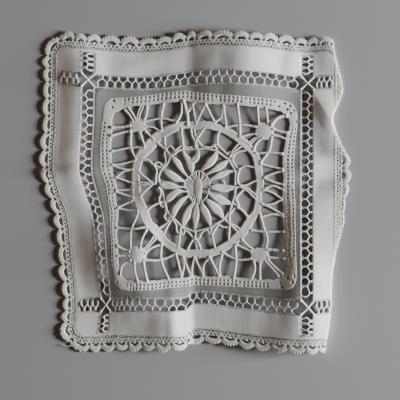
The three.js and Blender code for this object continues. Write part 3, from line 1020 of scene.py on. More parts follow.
@dataclass
class LinenGround:
    """The linen: a double hem, four corner squares and the thin strip round the centre."""

    shop: Workshop
    lines: FrameLines
    cell: float = 1.5
    hem_thickness: float = 0.75
    strip_thickness: float = 0.35
    strip_rows: tuple[float, ...] = (-1.0, -0.66, -0.33, 0.0, 0.06)
    strip_cells: tuple[int, int] = (8, 50)
    strip_drop: float = 0.1
    top: float = 0.2
    fine_from: float = 90.0
    fine_cuts: int = 2
    corner_slack: float = 0.4
    roll: float = 0.3
    roll_step: float = 1.6
    stitch: float = 0.19
    stitch_step: float = 1.0

    def sheet(self) -> Piece:
        """Cuts the cloth along the drawn bands and gives it its thickness.

        Returns:
            The cloth.
        """
        half_cells = int(LINEN_HALF / self.cell)
        places = np.arange(-half_cells, half_cells + 1) * self.cell
        for half in (BAND_INNER_HALF, BAND_OUTER_HALF, HEM_RUN_END):
            for sign in (-1, 1):
                places[np.argmin(np.abs(places - sign * half))] = sign * half

        def shape(column: Array, row: Array) -> Array:
            """Gives the sheet's corners."""
            return np.stack([places[column], places[row], np.full(len(row), self.top)], axis=1)

        work = grid(2 * half_cells, 2 * half_cells, shape)
        gone = [f for f in work.faces if not self.is_cloth(f.calc_center_median())]
        bmesh.ops.delete(work, geom=gone, context="FACES")
        straight = LINEN_HALF - LINEN_CORNER
        for vert in work.verts:
            reach = Vector((abs(vert.co.x) - straight, abs(vert.co.y) - straight))
            if min(reach) > 0 and reach.length > LINEN_CORNER:
                reach = reach.normalized() * LINEN_CORNER + Vector((straight, straight))
                vert.co.xy = math.copysign(reach.x, vert.co.x), math.copysign(reach.y, vert.co.y)
        across = []
        for edge in work.edges:
            start, end = (vert.co.x for vert in edge.verts)
            if min(start, end) >= self.fine_from and abs(start - end) > self.cell / 3:
                across.append(edge)
        bmesh.ops.subdivide_edges(work, edges=across, cuts=self.fine_cuts, use_grid_fill=True)
        thicken(work, self.hem_thickness)
        gather(work, self.strip())
        mesh = mesh_of(work, "linen_cloth")
        index = np.empty(len(mesh.polygons), dtype=np.int32)
        mesh.polygons.foreach_get("material_index", index)
        piece = self.shop.place(mesh, Node.LINEN, Slot.LINEN, self.shop.finishes.linen)
        mesh.materials.append(self.shop.finishes.of(self.shop.finishes.sheer))
        mesh.polygons.foreach_set("material_index", index)
        return piece

    def strip(self) -> Work:
        """Cuts the thin strip between the drawn band and the lace.

        Returns:
            The strip as closed flat work, in the second finish.
        """
        stations, _ = self.lines.stations(*self.strip_cells, (0.0,))
        rows = np.array(self.strip_rows)

        def shape(column: Array, row: Array) -> Array:
            """Gives the strip's corners."""
            height = np.full(len(row), self.top - self.strip_drop)
            return np.c_[self.lines.place(stations[column], rows[row]), height]

        work = grid(len(stations) - 1, len(rows) - 1, shape)
        thicken(work, self.strip_thickness, WELD)
        for face in work.faces:
            face.material_index = 1
        return work

    def is_cloth(self, at: Vector) -> bool:
        """Tells hem and corner squares from the drawn band and the middle.

        Args:
            at: A flat place.

        Returns:
            Whether it is cloth.
        """
        a, b = sorted((abs(at.x), abs(at.y)))
        straight = LINEN_HALF - LINEN_CORNER
        if a > straight:
            return math.hypot(a - straight, b - straight) < LINEN_CORNER + self.corner_slack
        in_band = BAND_INNER_HALF < a < BAND_OUTER_HALF
        return b > BAND_OUTER_HALF and not (in_band and b < HEM_RUN_END)

    def edge_lines(self) -> list[Array]:
        """Gives the cut edges along the drawn bands.

        Returns:
            Lines with the cloth on their left.
        """
        i, o, e = BAND_INNER_HALF, BAND_OUTER_HALF, HEM_RUN_END
        lines = []
        for side in range(4):
            for start, end in (
                ((-i, o), (i, o)), ((i, i), (-i, i)), ((i, e), (o, e)), ((-o, e), (-i, e)),
                ((i, o), (i, e)), ((-i, e), (-i, o)), ((o, e), (o, o)), ((-o, o), (-o, e)),
            ):
                line = np.array([[*start, self.top], [*end, self.top]], dtype=float)
                lines.append(turned(line, side))
        return lines

    def stitching(self) -> Piece:
        """Works the overcast stitches that hold the cut edges.

        Returns:
            The stitches and the rolled edge under them.
        """
        rng = np.random.default_rng(SEED + 1)
        threads = Threads()
        for line in self.edge_lines():
            run = resampled(line, self.stitch_step)
            threads.add(resampled(line, self.roll_step) - [0, 0, self.top], self.roll)
            forward = (run[1] - run[0]) / np.linalg.norm(run[1] - run[0])
            inward = np.array([-forward[1], forward[0], 0.0])
            for place in run:
                slant = rng.uniform(-0.2, 0.3)
                reach = rng.uniform(0.6, 1.1)
                threads.add(
                    np.array([
                        place + inward * reach + forward * slant + [0, 0, -0.05],
                        place + inward * 0.2 + [0, 0, 0.2],
                        place - inward * 0.3 + [0, 0, -0.25],
                    ]),
                    self.stitch,
                )
        mesh = threads.mesh("edge_stitches", 0)
        return self.shop.place(mesh, Node.LINEN, Slot.LINEN, self.shop.finishes.drawn)


@dataclass
class DrawnWork:
    """The drawn band: the threads left in the cloth, tied in two staggered rows, and the corner webs."""

    shop: Workshop
    run_half: float = 74.4
    hem_run: Point = (88.6, 101.6)
    clusters: int = 24
    hem_clusters: int = 3
    threads_each: int = 8
    thread: float = 0.18
    hem_thread: float = 0.3
    spacing: float = 0.155
    hem_spacing: float = 0.24
    outer_tie: Point = (85.2, 82.9)
    inner_tie: Point = (81.4, 78.5)
    outer_spread: float = 0.34
    inner_spread: float = 0.66
    wobble: float = 0.12
    outer_rise: float = 0.25
    inner_rise: float = 0.3
    layer: float = 0.12
    over: float = 0.25
    under: float = -0.1
    tuck: float = 0.3
    tie_span: Point = (0.4, 2.4)
    tie_swell: tuple[float, ...] = (0.7, 1.0, 0.9, 1.0, 0.7)
    working_thread: float = 2.1
    web_bar: float = 0.7
    web_step: float = 0.42
    web_height: float = 0.2
    cross_half: float = 0.7
    cross_swell: tuple[float, ...] = (0.5, 0.85, 0.95, 0.85, 0.5)
    knot: float = 0.6

    def band(
        self, threads: Threads, ties: Threads, side: int, run: Point, count: int, size: Point, rng: Rng
    ) -> None:
        """Draws one run of the band.

        Args:
            threads: Takes the drawn threads.
            ties: Takes the knots and the working thread.
            side: The side, in quarter turns from the top.
            run: Where the run starts and ends along the side.
            count: How many clusters it has.
            size: Half a thread's thickness, and the spacing of tied threads.
            rng: Gives the unevenness of hand work.
        """
        start, end = run
        radius, spacing = size
        pitch = (end - start) / count
        wobble = self.wobble
        outer = start + (np.arange(count) + 0.5) * pitch + rng.uniform(-wobble, wobble, count) * pitch
        inner = start + np.arange(count + 1) * pitch + rng.uniform(-wobble, wobble, count + 1) * pitch
        inner[0], inner[-1] = start, end
        rise_o = rng.uniform(-self.outer_rise, self.outer_rise, count)
        rise_i = rng.uniform(-self.inner_rise, self.inner_rise, count + 1)
        half = (self.threads_each - 1) / 2
        for k in range(count):
            for j in range(self.threads_each):
                right = j > half
                to = k + 1 if right else k
                away = (j - half) * pitch / self.threads_each
                top = start + (k + 0.5) * pitch + away * self.outer_spread
                turn = (-1 if right else 1) * self.threads_each / 2
                foot = start + to * pitch
                foot = foot + (j - half + turn) * pitch / self.threads_each * self.inner_spread
                o = outer[k] + (j - half) * spacing
                i = inner[to] + (j - half + turn) * spacing
                layer = self.layer * (-1) ** j
                path = rounded(
                    np.array([
                        [top, BAND_OUTER_HALF + self.tuck, self.under],
                        [o, self.outer_tie[0] + rise_o[k], layer],
                        [o, self.outer_tie[1] + rise_o[k], layer],
                        [i, self.inner_tie[0] + rise_i[to], layer],
                        [i, self.inner_tie[1] + rise_i[to], layer],
                        [foot, BAND_INNER_HALF - self.tuck, self.under],
                    ]),
                    3,
                )
                threads.add(turned(path, side), radius)
        steps = len(self.tie_swell)
        for places, rises, (high, low) in ((outer, rise_o, self.outer_tie), (inner, rise_i, self.inner_tie)):
            for place, rise in zip(places, rises):
                line = np.linspace(min(high, low + self.tie_span[1]), low + self.tie_span[0], steps) + rise
                wrap = np.c_[np.full(steps, place), line, np.full(steps, 0.03)]
                swell = self.knot * (radius / self.thread) ** 0.5 * np.array(self.tie_swell)
                ties.add(turned(wrap, side), swell)
        zigzag = np.full((2 * count + 1, 3), self.over)
        zigzag[0::2, :2] = np.c_[inner, self.inner_tie[0] + rise_i - 0.2]
        zigzag[1::2, :2] = np.c_[outer, self.outer_tie[1] + rise_o + 0.2]
        ties.add(turned(rounded(zigzag), side), radius * self.working_thread)

    def web(self, ties: Threads, side: int, rng: Rng) -> None:
        """Draws the crossed web in one corner.

        Args:
            ties: Takes the web.
            side: The corner, in quarter turns from the top right.
            rng: Gives the unevenness of hand work.
        """
        i, o = BAND_INNER_HALF - self.tuck, BAND_OUTER_HALF + self.tuck
        for start, end in (((i, i), (o, o)), ((o, i), (i, o))):
            run = resampled(arched(start, end, rng.uniform(-0.4, 0.4), self.web_height), self.web_step)
            ends = np.abs(np.linspace(-1, 1, len(run))) ** 4
            swell = self.web_bar * (1 + 0.1 * np.cos(np.pi * np.arange(len(run))) + 0.7 * ends)
            ties.add(turned(run, side), swell)
        middle, steps = (i + o) / 2, len(self.cross_swell)
        along = middle + np.linspace(-self.cross_half, self.cross_half, steps)
        cross = np.c_[along, np.full(steps, middle), np.full(steps, self.over)]
        ties.add(turned(cross, side), np.array(self.cross_swell))

    def build(self) -> list[Piece]:
        """Works the whole band.

        Returns:
            The drawn threads, and the ties and webs.
        """
        rng = np.random.default_rng(SEED + 2)
        threads, ties = Threads(), Threads()
        low, high = self.hem_run
        for side in range(4):
            size = (self.thread, self.spacing)
            self.band(threads, ties, side, (-self.run_half, self.run_half), self.clusters, size, rng)
            size = (self.hem_thread, self.hem_spacing)
            self.band(threads, ties, side, (low, high), self.hem_clusters, size, rng)
            self.band(threads, ties, side, (-high, -low), self.hem_clusters, size, rng)
            self.web(ties, side, rng)
        finish = self.shop.finishes.drawn
        return [
            self.shop.place(threads.mesh("drawn_threads", 0), Node.LINEN, Slot.LINEN, finish),
            self.shop.place(ties.mesh("band_ties", 1), Node.LINEN, Slot.LINEN, finish),
        ]


@dataclass(frozen=True)
class ReadLace:
    """The places of the needle lace, read on the picture."""

    # The outer and the inner edge, clockwise from the top.
    ring: tuple[Line, Line] = (
        (
            (197, 121.8), (205, 121.5), (213, 123), (220, 126), (226, 128), (233, 131), (240, 136),
            (246, 140), (250, 143.5), (253, 148), (256, 152.5), (259, 157), (261, 163), (261.3, 168),
            (262, 174), (263, 180), (263, 186), (261.3, 191), (260.5, 197), (260.5, 205), (259.5, 211),
            (257, 216), (253, 222), (249, 230), (245, 235), (241, 240), (235, 244.5), (228, 249),
            (220, 253.5), (213, 255.5), (208, 257.5), (203, 257.5), (195, 257.5), (187, 257), (180, 255),
            (175, 252.5), (170, 250), (165, 246), (160, 241), (154, 235), (150, 230), (146.5, 226.5),
            (143, 222), (141, 217), (138, 212), (135, 205), (133.5, 200), (132.3, 195), (131.2, 188),
            (131.5, 181), (132.5, 173), (133, 165), (134, 159), (137, 153), (140, 148), (145, 143),
            (151, 136.5), (158, 130), (165, 126.7), (175, 123.8), (182, 122), (190, 121.8),
        ),
        (
            (198, 129), (205, 128.5), (212, 129), (218, 131.5), (224, 133), (230, 137), (236, 141),
            (241, 146), (245, 149), (249, 152), (252, 156), (253.5, 160), (254.3, 166), (255, 172),
            (256.4, 178), (257, 184), (256.8, 187.5), (255.6, 192), (256, 197), (255, 203), (254, 209),
            (251.5, 213), (247, 216.5), (246.5, 219.5), (243, 224), (240.5, 228), (237, 231.5), (233, 235.5),
            (229.5, 240), (224, 243), (219, 246), (214, 248.5), (208, 250), (200, 249.5), (190, 250),
            (183, 250), (178, 246.5), (172, 243), (166, 238.5), (163, 233), (159.5, 229), (156.5, 225),
            (152, 222.5), (150, 217.5), (148.5, 212), (146.5, 208), (144.5, 203), (142, 198), (140.3, 192),
            (140, 186), (139, 180), (139, 173), (140.5, 167), (142.5, 160), (147, 155.5), (152, 151),
            (155.5, 147), (158.5, 143), (164.5, 137.2), (171, 133.5), (176, 131), (181, 129), (187, 127.5),
            (192, 129.5),
        ),
    )
    # Two edges of each leaf from tip to foot, from the top round by the left.
    leaves: tuple[Line, ...] = (
        ((197.8, 150.5), (196, 153), (193.5, 155.5), (191, 157.5), (190.5, 160.5)),
        ((199, 150.5), (199.7, 154), (199, 158.5), (196.5, 161.8), (193, 164)),
        ((182.3, 150.5), (182.8, 154), (184.3, 158.5), (186, 163), (188, 168.5), (190.8, 173.5)),
        (
            (184.2, 150.5), (186, 154), (190, 157.3), (193.3, 161.5), (194.1, 166), (193.6, 170),
            (192.8, 173.5),
        ),
        ((171, 157), (172.3, 160.5), (175, 165), (179, 170), (184, 174.5), (187.5, 177.8)),
        ((172.5, 156.5), (176, 158), (180, 161.5), (182, 166), (184.5, 171.5), (188.5, 177)),
        ((162.8, 170.5), (164.8, 174), (168, 178), (173, 181), (178.5, 181.6), (184, 181.8)),
        ((163.5, 169.3), (168, 170.2), (173, 172.3), (178, 175.8), (184, 180.3)),
        ((159.5, 186), (163, 188.3), (168.5, 189), (175, 188.3), (180, 187.8), (185, 188)),
        ((159.5, 183.3), (163, 181.6), (168, 182), (173.5, 183.7), (179, 185.8), (185, 186.5)),
        ((165.5, 202), (169.5, 201.5), (173.5, 198.5), (176.5, 194.8), (181, 192.4), (187.5, 192.3)),
        (
            (164.8, 200), (165.7, 196.5), (168.3, 192.8), (172.5, 190), (177.5, 188.7), (183, 190.3),
            (187.5, 190.7),
        ),
        ((173, 217), (175, 216), (177.3, 211), (180.2, 206.3), (183.3, 201.8), (188.5, 196.8)),
        ((171, 216), (171.2, 212), (172.3, 206.5), (176, 203), (178.5, 199.5), (183, 196.8), (187.5, 195.3)),
        ((184, 226.5), (187, 222), (190, 218), (191, 213.5), (192.5, 208), (195, 203.5)),
        ((182.3, 227.5), (181.3, 222), (182.2, 216), (184.7, 210.5), (188, 206), (192.5, 202)),
        ((195.5, 230), (196.8, 224), (198.8, 218), (199.2, 212), (198.5, 207), (197.5, 203)),
        ((194, 230.5), (193, 224), (191.7, 217), (192.3, 211), (194, 206.5), (195.5, 203)),
        ((211.2, 226), (211, 220.5), (210.2, 215), (208.5, 210.5), (205.5, 206.5), (203, 203)),
        ((209.7, 227), (207.5, 223), (204, 218), (201, 213), (199.8, 208), (200.5, 203.5)),
        (
            (224.2, 218.5), (223, 213.5), (221.2, 209), (218.3, 205.3), (213.5, 202), (208.5, 199.3),
            (206.3, 199),
        ),
        ((223, 220), (220.5, 217.8), (217, 215.2), (213, 213), (210, 208.3), (206.8, 203.5), (204.8, 201)),
        ((232, 203.5), (228.5, 200.5), (224, 197.5), (219, 194.7), (213.5, 194.3), (209.5, 192.5)),
        ((231.5, 205.2), (226, 204.5), (220, 204.6), (216, 202), (211.5, 198.3), (208.5, 195)),
        ((236, 186.3), (229, 185.4), (222.5, 184.5), (216.5, 184), (212, 185), (209.3, 186.5)),
        ((236, 188), (231.5, 190), (227, 191.7), (222, 192), (216.5, 191), (211, 189.4), (209.3, 188.8)),
        ((235, 170.5), (230, 170), (224.5, 170.3), (219, 172), (214.5, 175), (211, 178), (208.5, 180)),
        (
            (234.5, 172.3), (230, 172.8), (226.5, 175.2), (222.5, 177.2), (217.5, 178.7), (213, 179.5),
            (209.2, 181),
        ),
        ((228.5, 159.3), (223, 160.8), (218.8, 163), (214, 167), (209.5, 170.8), (205.5, 174.3)),
        (
            (228.5, 161.3), (226.5, 164.5), (223.8, 167.5), (219, 170.5), (214, 172.2), (209, 174),
            (206.5, 175.7),
        ),
        ((215.8, 150.8), (212.5, 154.5), (208, 158), (205.3, 162.3), (202.8, 166), (200.5, 170)),
        (
            (217.3, 150.8), (217.6, 155.5), (216.3, 160), (213.5, 164.2), (209.5, 167.3), (205, 169.3),
            (202.5, 170.8),
        ),
    )
    # The outlines of the hub's woven core and of the four corner pads.
    pads: tuple[Line, ...] = (
        (
            (198, 178), (201, 180), (202.3, 184), (201.6, 188), (201.6, 193), (200.8, 197.5), (198, 199.5),
            (195.3, 197), (194.3, 192.5), (194.2, 187), (194.6, 182), (196, 179),
        ),
        (
            (129.5, 121.5), (133, 119.5), (139, 118.8), (144, 119.8), (145.3, 124), (145.5, 129.5),
            (142, 132), (136, 131.8), (131, 131.5), (129.3, 127),
        ),
        (
            (256.5, 127), (257.5, 123), (264, 122.8), (270, 124.5), (272.5, 129), (273, 135), (270, 138.5),
            (263, 139.5), (257.5, 138), (254.8, 133),
        ),
        (
            (129, 250), (132, 247), (138, 247), (143, 247.8), (146, 252), (146, 258.5), (143, 261.5),
            (136, 262), (131, 260.5), (127.8, 255),
        ),
        (
            (250.5, 251), (254, 248.3), (260, 248), (266, 247.8), (268, 252), (268.5, 258.5), (265, 262),
            (258, 261.5), (252.5, 260.5), (250.3, 256),
        ),
    )
    # Where the wheel's bars are knotted together.
    knots: Line = (
        (166, 149.6), (183, 148.8), (195.3, 146.5), (216, 148.4), (230.4, 155.4), (239, 169.4),
        (240.8, 186.2), (237.6, 207.6), (229.8, 224.4), (212.3, 236), (194.7, 238.7), (180, 234.2),
        (167.6, 221.3), (159.3, 202.5), (155.6, 182.2), (154, 165.2),
    )
    # The thread round the hub that passes through the leaves' feet.
    rim: Line = (
        (201, 171.5), (206, 176), (208.9, 181.5), (209, 188), (207.5, 195), (204.4, 199.6), (201, 203),
        (197.6, 203.8), (194.5, 203), (191, 199.5), (188.3, 195), (187.5, 190.5), (184.8, 186), (184.6, 181),
        (188.5, 177.8), (193, 173), (197, 171),
    )
    # The bars between ring, leaves and hub, each with half its thickness.
    wheel: tuple[Bar, ...] = (
        (0.8, ((164.4, 138), (164.6, 142.5), (165.4, 146.9), (166, 149.5))),
        (1.1, ((158, 143.6), (162, 147), (165.6, 149.6))),
        (0.75, ((166, 149.5), (168.2, 153.3), (171, 156.3))),
        (0.7, ((166.6, 148.2), (169.4, 145.8), (171.8, 147.4), (175, 150.6))),
        (0.7, ((175, 150.8), (178.4, 147.8), (181.6, 145), (182.6, 142.8))),
        (0.75, ((171, 155.8), (175.4, 153), (180, 149.8), (183, 148.8))),
        (0.7, ((165.2, 150.4), (164.3, 154.6), (165.4, 158.8), (165.6, 162.6), (163.4, 165), (161.6, 165.6))),
        (0.75, ((170, 157.6), (168.6, 160.8), (166.6, 164.3), (164.2, 166.5), (162.4, 168.4))),
        (0.65, ((162.4, 166.2), (160.3, 163.3), (157.5, 162.4), (155.1, 163.3), (153.5, 164.9))),
        (0.65, ((161, 168.2), (157.5, 166.4), (153.9, 165.1))),
        (0.75, ((153.6, 164.9), (151.1, 162.6), (148.7, 160.5), (145.6, 159.7), (141.8, 160.2))),
        (0.75, ((153.9, 165.5), (156.4, 169.3), (156.4, 173), (155.9, 176.6), (155.6, 181))),
        (0.75, ((161.5, 169.6), (159.4, 173.9), (158.7, 176.9), (159.1, 180.6), (160.2, 183.4))),
        (0.75, ((151, 182), (146.3, 178.3), (142.8, 175.6), (138.8, 171.6))),
        (0.75, ((156, 181.8), (150, 182.2), (145.2, 182.6), (138.8, 182.3))),
        (0.7, ((156, 183.6), (150, 184.2), (139.2, 185.2))),
        (0.8, ((152, 185), (148, 188), (144, 192), (140.4, 195.6))),
        (0.9, ((181.3, 128), (181.7, 134.9), (182.5, 140.1), (183, 144), (183, 148.5))),
        (0.65, ((183, 144.5), (185.3, 146.9), (189.7, 147.3), (194.4, 146.1))),
        (0.7, ((182.6, 149), (187.7, 149.3), (195.6, 148.9), (204.9, 148.8), (210.9, 149.6), (215.7, 150.4))),
        (0.8, ((191, 128.8), (191.7, 134.9), (193.6, 138.9), (195.1, 142.9), (194.8, 147))),
        (0.65, ((194.2, 129), (195.2, 134.5), (196.4, 139), (196.6, 144), (197.6, 150))),
        (0.8, ((204.2, 128), (200.2, 134.1), (197.4, 137.7), (195.8, 140.9))),
        (0.7, (
            (196.6, 139.8), (199.8, 143.4), (202.2, 146.5), (206.9, 147.1), (211.7, 146.7), (214.6, 143.9),
        )),
        (0.85, ((219.2, 130.8), (217.4, 136.1), (216.9, 140.1), (217.2, 143.9))),
        (0.75, ((216.6, 143.6), (214.6, 146.4), (214.9, 150))),
        (0.75, ((217.3, 143.9), (219.8, 147.3), (222.4, 149.8), (225.2, 152.4), (227.2, 154.6))),
        (0.75, ((215.7, 150.4), (220.4, 153.8), (224, 156.6), (228, 159.4))),
        (0.8, ((229.6, 157), (232.4, 150.8), (235.5, 146.7), (239, 143))),
        (0.8, ((230.4, 156), (234.3, 151), (238.3, 148.2), (241.6, 146))),
        (0.75, ((231.6, 156.4), (236.3, 152.5), (239.9, 151.2), (245.2, 150.4))),
        (0.65, ((227.4, 154.6), (228.2, 152.4), (230.2, 151.8))),
        (0.7, ((234.3, 154.4), (232.8, 158), (232.9, 160.9), (234.3, 164.3), (236.6, 167.4))),
        (0.75, ((228.8, 160), (231.6, 164.9), (233.9, 168.9), (235.3, 172))),
        (0.75, ((237.6, 169.6), (240.3, 168.4), (242.3, 166.8), (245.9, 166.2), (253.4, 167.3))),
        (0.8, ((239.5, 169.6), (238.3, 172.8), (237.5, 176.8), (237.2, 180.8), (238.9, 184.4), (241, 186))),
        (0.8, ((235.2, 172), (235.1, 176.7), (235.1, 180.6), (234.9, 184.6))),
        (0.75, ((239.5, 185.2), (245.5, 185.1), (249.8, 183.1), (256, 180.5))),
        (0.5, ((223.2, 180.4), (224, 182.2), (224.4, 184))),
        (0.8, ((158.8, 187.6), (160.6, 191.4), (160.6, 195), (159.3, 197.4), (159.1, 200.3), (158.9, 202.4))),
        (0.75, ((160.4, 188.8), (162.2, 192.2), (163.4, 196.1), (164.4, 200.4))),
        (0.7, ((159, 202.3), (161.5, 201.8), (164.2, 201.2))),
        (0.7, ((159.6, 203.4), (161.6, 206.6), (164.8, 206.2))),
        (0.85, ((159.1, 202.6), (155.1, 204.6), (151.5, 206.6), (147, 210.2))),
        (0.75, ((164.6, 201.6), (166, 207.4), (167.2, 211), (169.8, 214.8), (171.6, 216.6))),
        (0.75, ((165.2, 206), (165.8, 210.1), (165.3, 214), (164, 215.8), (165.4, 218.8), (166.8, 221.4))),
        (0.7, ((170.2, 215.2), (169.2, 218.4), (167.8, 221))),
        (0.95, ((168.4, 221.8), (163.8, 225), (157.6, 229.5))),
        (0.85, ((172.4, 218.6), (169.6, 222.4), (167, 226.8), (164.2, 232.6))),
        (0.75, ((172.2, 217.6), (175.8, 220.8), (178.9, 223.6), (181.4, 226.6))),
        (0.75, ((173.6, 220.6), (176, 225), (176.2, 229.1), (177.2, 232.5), (179.4, 234.9))),
        (0.8, ((181, 227.6), (180.1, 231.5), (179.3, 235), (179.3, 238.7), (178.9, 242.6), (177.6, 248))),
        (0.65, ((181.4, 232), (183, 234.7), (184.5, 230.9))),
        (0.75, ((182.2, 227.6), (186.9, 228.8), (190.9, 230.4), (194.6, 231.4))),
        (0.7, ((184.5, 230.4), (187.7, 231.7), (190.1, 234.3), (193, 237.8))),
        (0.8, ((195, 230.6), (195.2, 234.7), (194.8, 238.4))),
        (0.8, ((194, 239), (192.2, 240.6), (190.1, 244), (187.2, 249.8))),
        (0.8, ((195.4, 239), (197.2, 241), (199, 244.4), (200.6, 249.2))),
        (0.6, ((194.8, 238.6), (195.8, 244), (196.2, 249.6))),
        (0.75, ((235.2, 188), (234.7, 194.6), (233.2, 199.7), (232, 203.4))),
        (0.8, ((242.8, 190.2), (238.7, 194.4), (235.7, 199), (237.7, 202.9), (238.3, 207.2))),
        (0.7, ((243, 188.8), (247.5, 191.2), (250.6, 194.4), (255.2, 198.8))),
        (0.7, ((243.5, 187.6), (247.5, 188.6), (251.4, 191.8), (255.6, 194.6))),
        (0.8, ((236, 187.4), (239.5, 187), (243.4, 188.2))),
        (0.7, ((232.6, 203.6), (236.6, 205.2), (238, 207.4))),
        (0.7, ((236.8, 207), (233.4, 209), (231.2, 212.6))),
        (0.95, ((238, 207.6), (240.7, 209.4), (243.5, 211.8), (247.4, 217))),
        (0.75, ((231.6, 205.4), (230, 210.1), (227.2, 214.4), (224.4, 218.2))),
        (0.75, ((230.2, 211.2), (229.3, 215.6), (229.2, 220), (230, 224))),
        (0.8, ((224.6, 219.2), (228.6, 223.6), (232, 226.4), (236.6, 231))),
        (0.75, ((230, 224), (235.5, 226.2), (240.4, 229.8))),
        (0.8, ((229, 225), (229.2, 229.9), (228.8, 234.7), (228.6, 241.4))),
        (0.75, ((223.6, 219.6), (217.7, 222.8), (213.7, 225.6), (210.9, 227.2))),
        (0.65, ((218.6, 224.8), (222, 226.7), (226.6, 227.4))),
        (0.8, ((218, 225), (215.7, 228.3), (213.1, 232.5), (212.1, 234.9), (212.6, 238.7), (215.2, 249))),
        (0.75, ((210.9, 227.6), (210.7, 231.5), (211.2, 235), (212.4, 238))),
        (0.75, ((210.5, 227.6), (204.9, 228.8), (199.8, 230), (195, 231.3))),
        (0.7, (
            (210.4, 236.6), (208.9, 233.6), (207.2, 230.2), (202.9, 231.3), (201, 233.9), (199, 237.9),
            (196, 238.8),
        )),
    )
    # The bars outside the ring, each with half its thickness, by the part of the picture.
    top_left: tuple[Bar, ...] = (
        (0.8, ((870, 855), (845, 810), (805, 765))), (0.8, ((895, 848), (875, 805), (838, 752))),
        (0.6, ((905, 845), (915, 790), (935, 735))), (0.6, ((920, 845), (935, 790), (955, 740))),
        (0.8, ((965, 850), (985, 800), (990, 740))), (0.95, ((845, 895), (770, 905), (695, 910))),
        (0.95, ((850, 940), (770, 955), (690, 980))), (0.8, ((975, 860), (1110, 835), (1240, 865))),
        (0.75, ((975, 905), (1040, 910), (1100, 945))), (0.8, ((980, 945), (1010, 975), (1045, 1010))),
        (0.8, ((930, 955), (950, 1010), (970, 1065))), (0.8, ((855, 955), (855, 1080), (895, 1175))),
        (0.8, ((1130, 720), (1110, 830), (1115, 935))), (0.9, ((1285, 690), (1280, 790), (1240, 865))),
        (1.2, ((1300, 690), (1330, 790), (1335, 880))), (0.7, ((1390, 705), (1345, 770))),
        (0.75, ((1375, 715), (1390, 790), (1405, 870))), (0.85, ((695, 1110), (860, 1080), (965, 1082))),
        (0.8, ((695, 1228), (790, 1215), (890, 1188))), (0.7, ((700, 1232), (780, 1262), (870, 1266))),
        (0.7, ((740, 1325), (790, 1285), (870, 1266))), (0.8, ((725, 1335), (870, 1385))),
        (0.8, ((730, 1440), (870, 1440))), (0.8, ((730, 1458), (870, 1505))),
    )
    low_left: tuple[Bar, ...] = (
        (0.75, ((865, 175), (745, 235))), (0.8, ((745, 240), (820, 255), (915, 265))),
        (0.85, ((740, 405), (880, 412), (990, 395))), (0.9, ((850, 680), (785, 720), (770, 790))),
        (0.95, ((840, 605), (790, 585), (745, 560))), (0.8, ((838, 640), (750, 640))),
        (0.9, ((885, 695), (890, 770), (910, 850))), (0.9, ((962, 695), (975, 770), (992, 850))),
        (0.8, ((975, 675), (1110, 675), (1240, 620))), (0.8, ((980, 620), (1040, 570), (1120, 545))),
        (0.55, ((955, 595), (1000, 545), (1040, 490))), (0.55, ((970, 605), (1015, 555), (1060, 505))),
        (0.8, ((935, 575), (950, 500), (985, 430))), (0.8, ((855, 575), (858, 430), (905, 310), (910, 262))),
        (0.85, ((1115, 550), (1112, 680), (1170, 830))), (0.85, ((1235, 625), (1280, 800))),
        (0.75, ((1295, 650), (1305, 730), (1285, 805))), (0.75, ((1300, 655), (1360, 810))),
        (0.75, ((1390, 655), (1375, 730), (1368, 805))), (0.75, ((1395, 660), (1460, 790))),
        (0.75, ((1510, 665), (1470, 725), (1465, 810))),
    )
    low_right: tuple[Bar, ...] = (
        (0.85, ((380, 555), (388, 690), (370, 825))), (0.8, ((268, 640), (250, 720), (252, 805))),
        (0.95, ((165, 655), (240, 805))), (0.8, ((640, 690), (690, 745), (742, 805))),
        (0.8, ((662, 680), (715, 735), (778, 792))), (0.95, ((660, 590), (785, 597))),
        (0.85, ((660, 655), (790, 665))), (0.85, ((538, 690), (548, 760), (520, 828))),
        (0.85, ((592, 700), (590, 835))), (0.8, ((515, 665), (390, 672), (272, 612))),
        (0.8, ((515, 605), (450, 575), (395, 550))), (0.8, ((525, 585), (475, 545), (440, 505))),
        (0.8, ((638, 580), (655, 500), (620, 390), (595, 295))), (0.85, ((520, 425), (620, 437), (790, 437))),
        (0.9, ((600, 312), (690, 290), (782, 305))), (0.75, ((605, 200), (700, 245), (782, 292))),
        (0.75, ((618, 207), (700, 200), (772, 165))), (0.75, ((620, 85), (700, 110), (772, 160))),
        (0.75, ((640, 72), (700, 50), (790, 85))),
    )
    top_right: tuple[Bar, ...] = (
        (1.3, ((690, 885), (740, 830), (812, 812))), (0.85, ((580, 880), (575, 810), (570, 745))),
        (0.85, ((658, 875), (650, 810), (640, 745))), (0.8, ((555, 905), (430, 890), (300, 908))),
        (0.8, ((555, 965), (500, 970), (430, 988))), (0.6, ((580, 985), (530, 1010), (490, 1050))),
        (0.6, ((592, 992), (545, 1020), (505, 1060))), (0.8, ((612, 1000), (565, 1040), (540, 1095))),
        (0.85, ((688, 1000), (672, 1100), (600, 1200))), (0.95, ((705, 925), (760, 945), (822, 957))),
        (0.85, ((705, 978), (760, 990), (818, 1015))), (0.85, ((780, 1135), (690, 1125), (555, 1130))),
        (0.85, ((400, 720), (420, 880), (420, 985))), (0.75, ((278, 728), (265, 820), (212, 862))),
        (0.75, ((285, 740), (305, 900))), (0.75, ((130, 712), (52, 872))), (0.75, ((130, 712), (202, 862))),
        (0.8, ((600, 1222), (690, 1245), (782, 1265))), (0.75, ((630, 1332), (700, 1300), (782, 1278))),
        (0.8, ((630, 1340), (710, 1375), (792, 1397))),
    )

    def outer_bars(self) -> list[tuple[Reading, Bar]]:
        """Gives the bars outside the ring.

        Returns:
            Each bar, with the part of the picture that it was read on.
        """
        parts = (
            (TOP_LEFT, self.top_left), (LOW_LEFT, self.low_left), (LOW_RIGHT, self.low_right),
            (TOP_RIGHT, self.top_right),
        )
        return [(reading, bar) for reading, bars in parts for bar in bars]


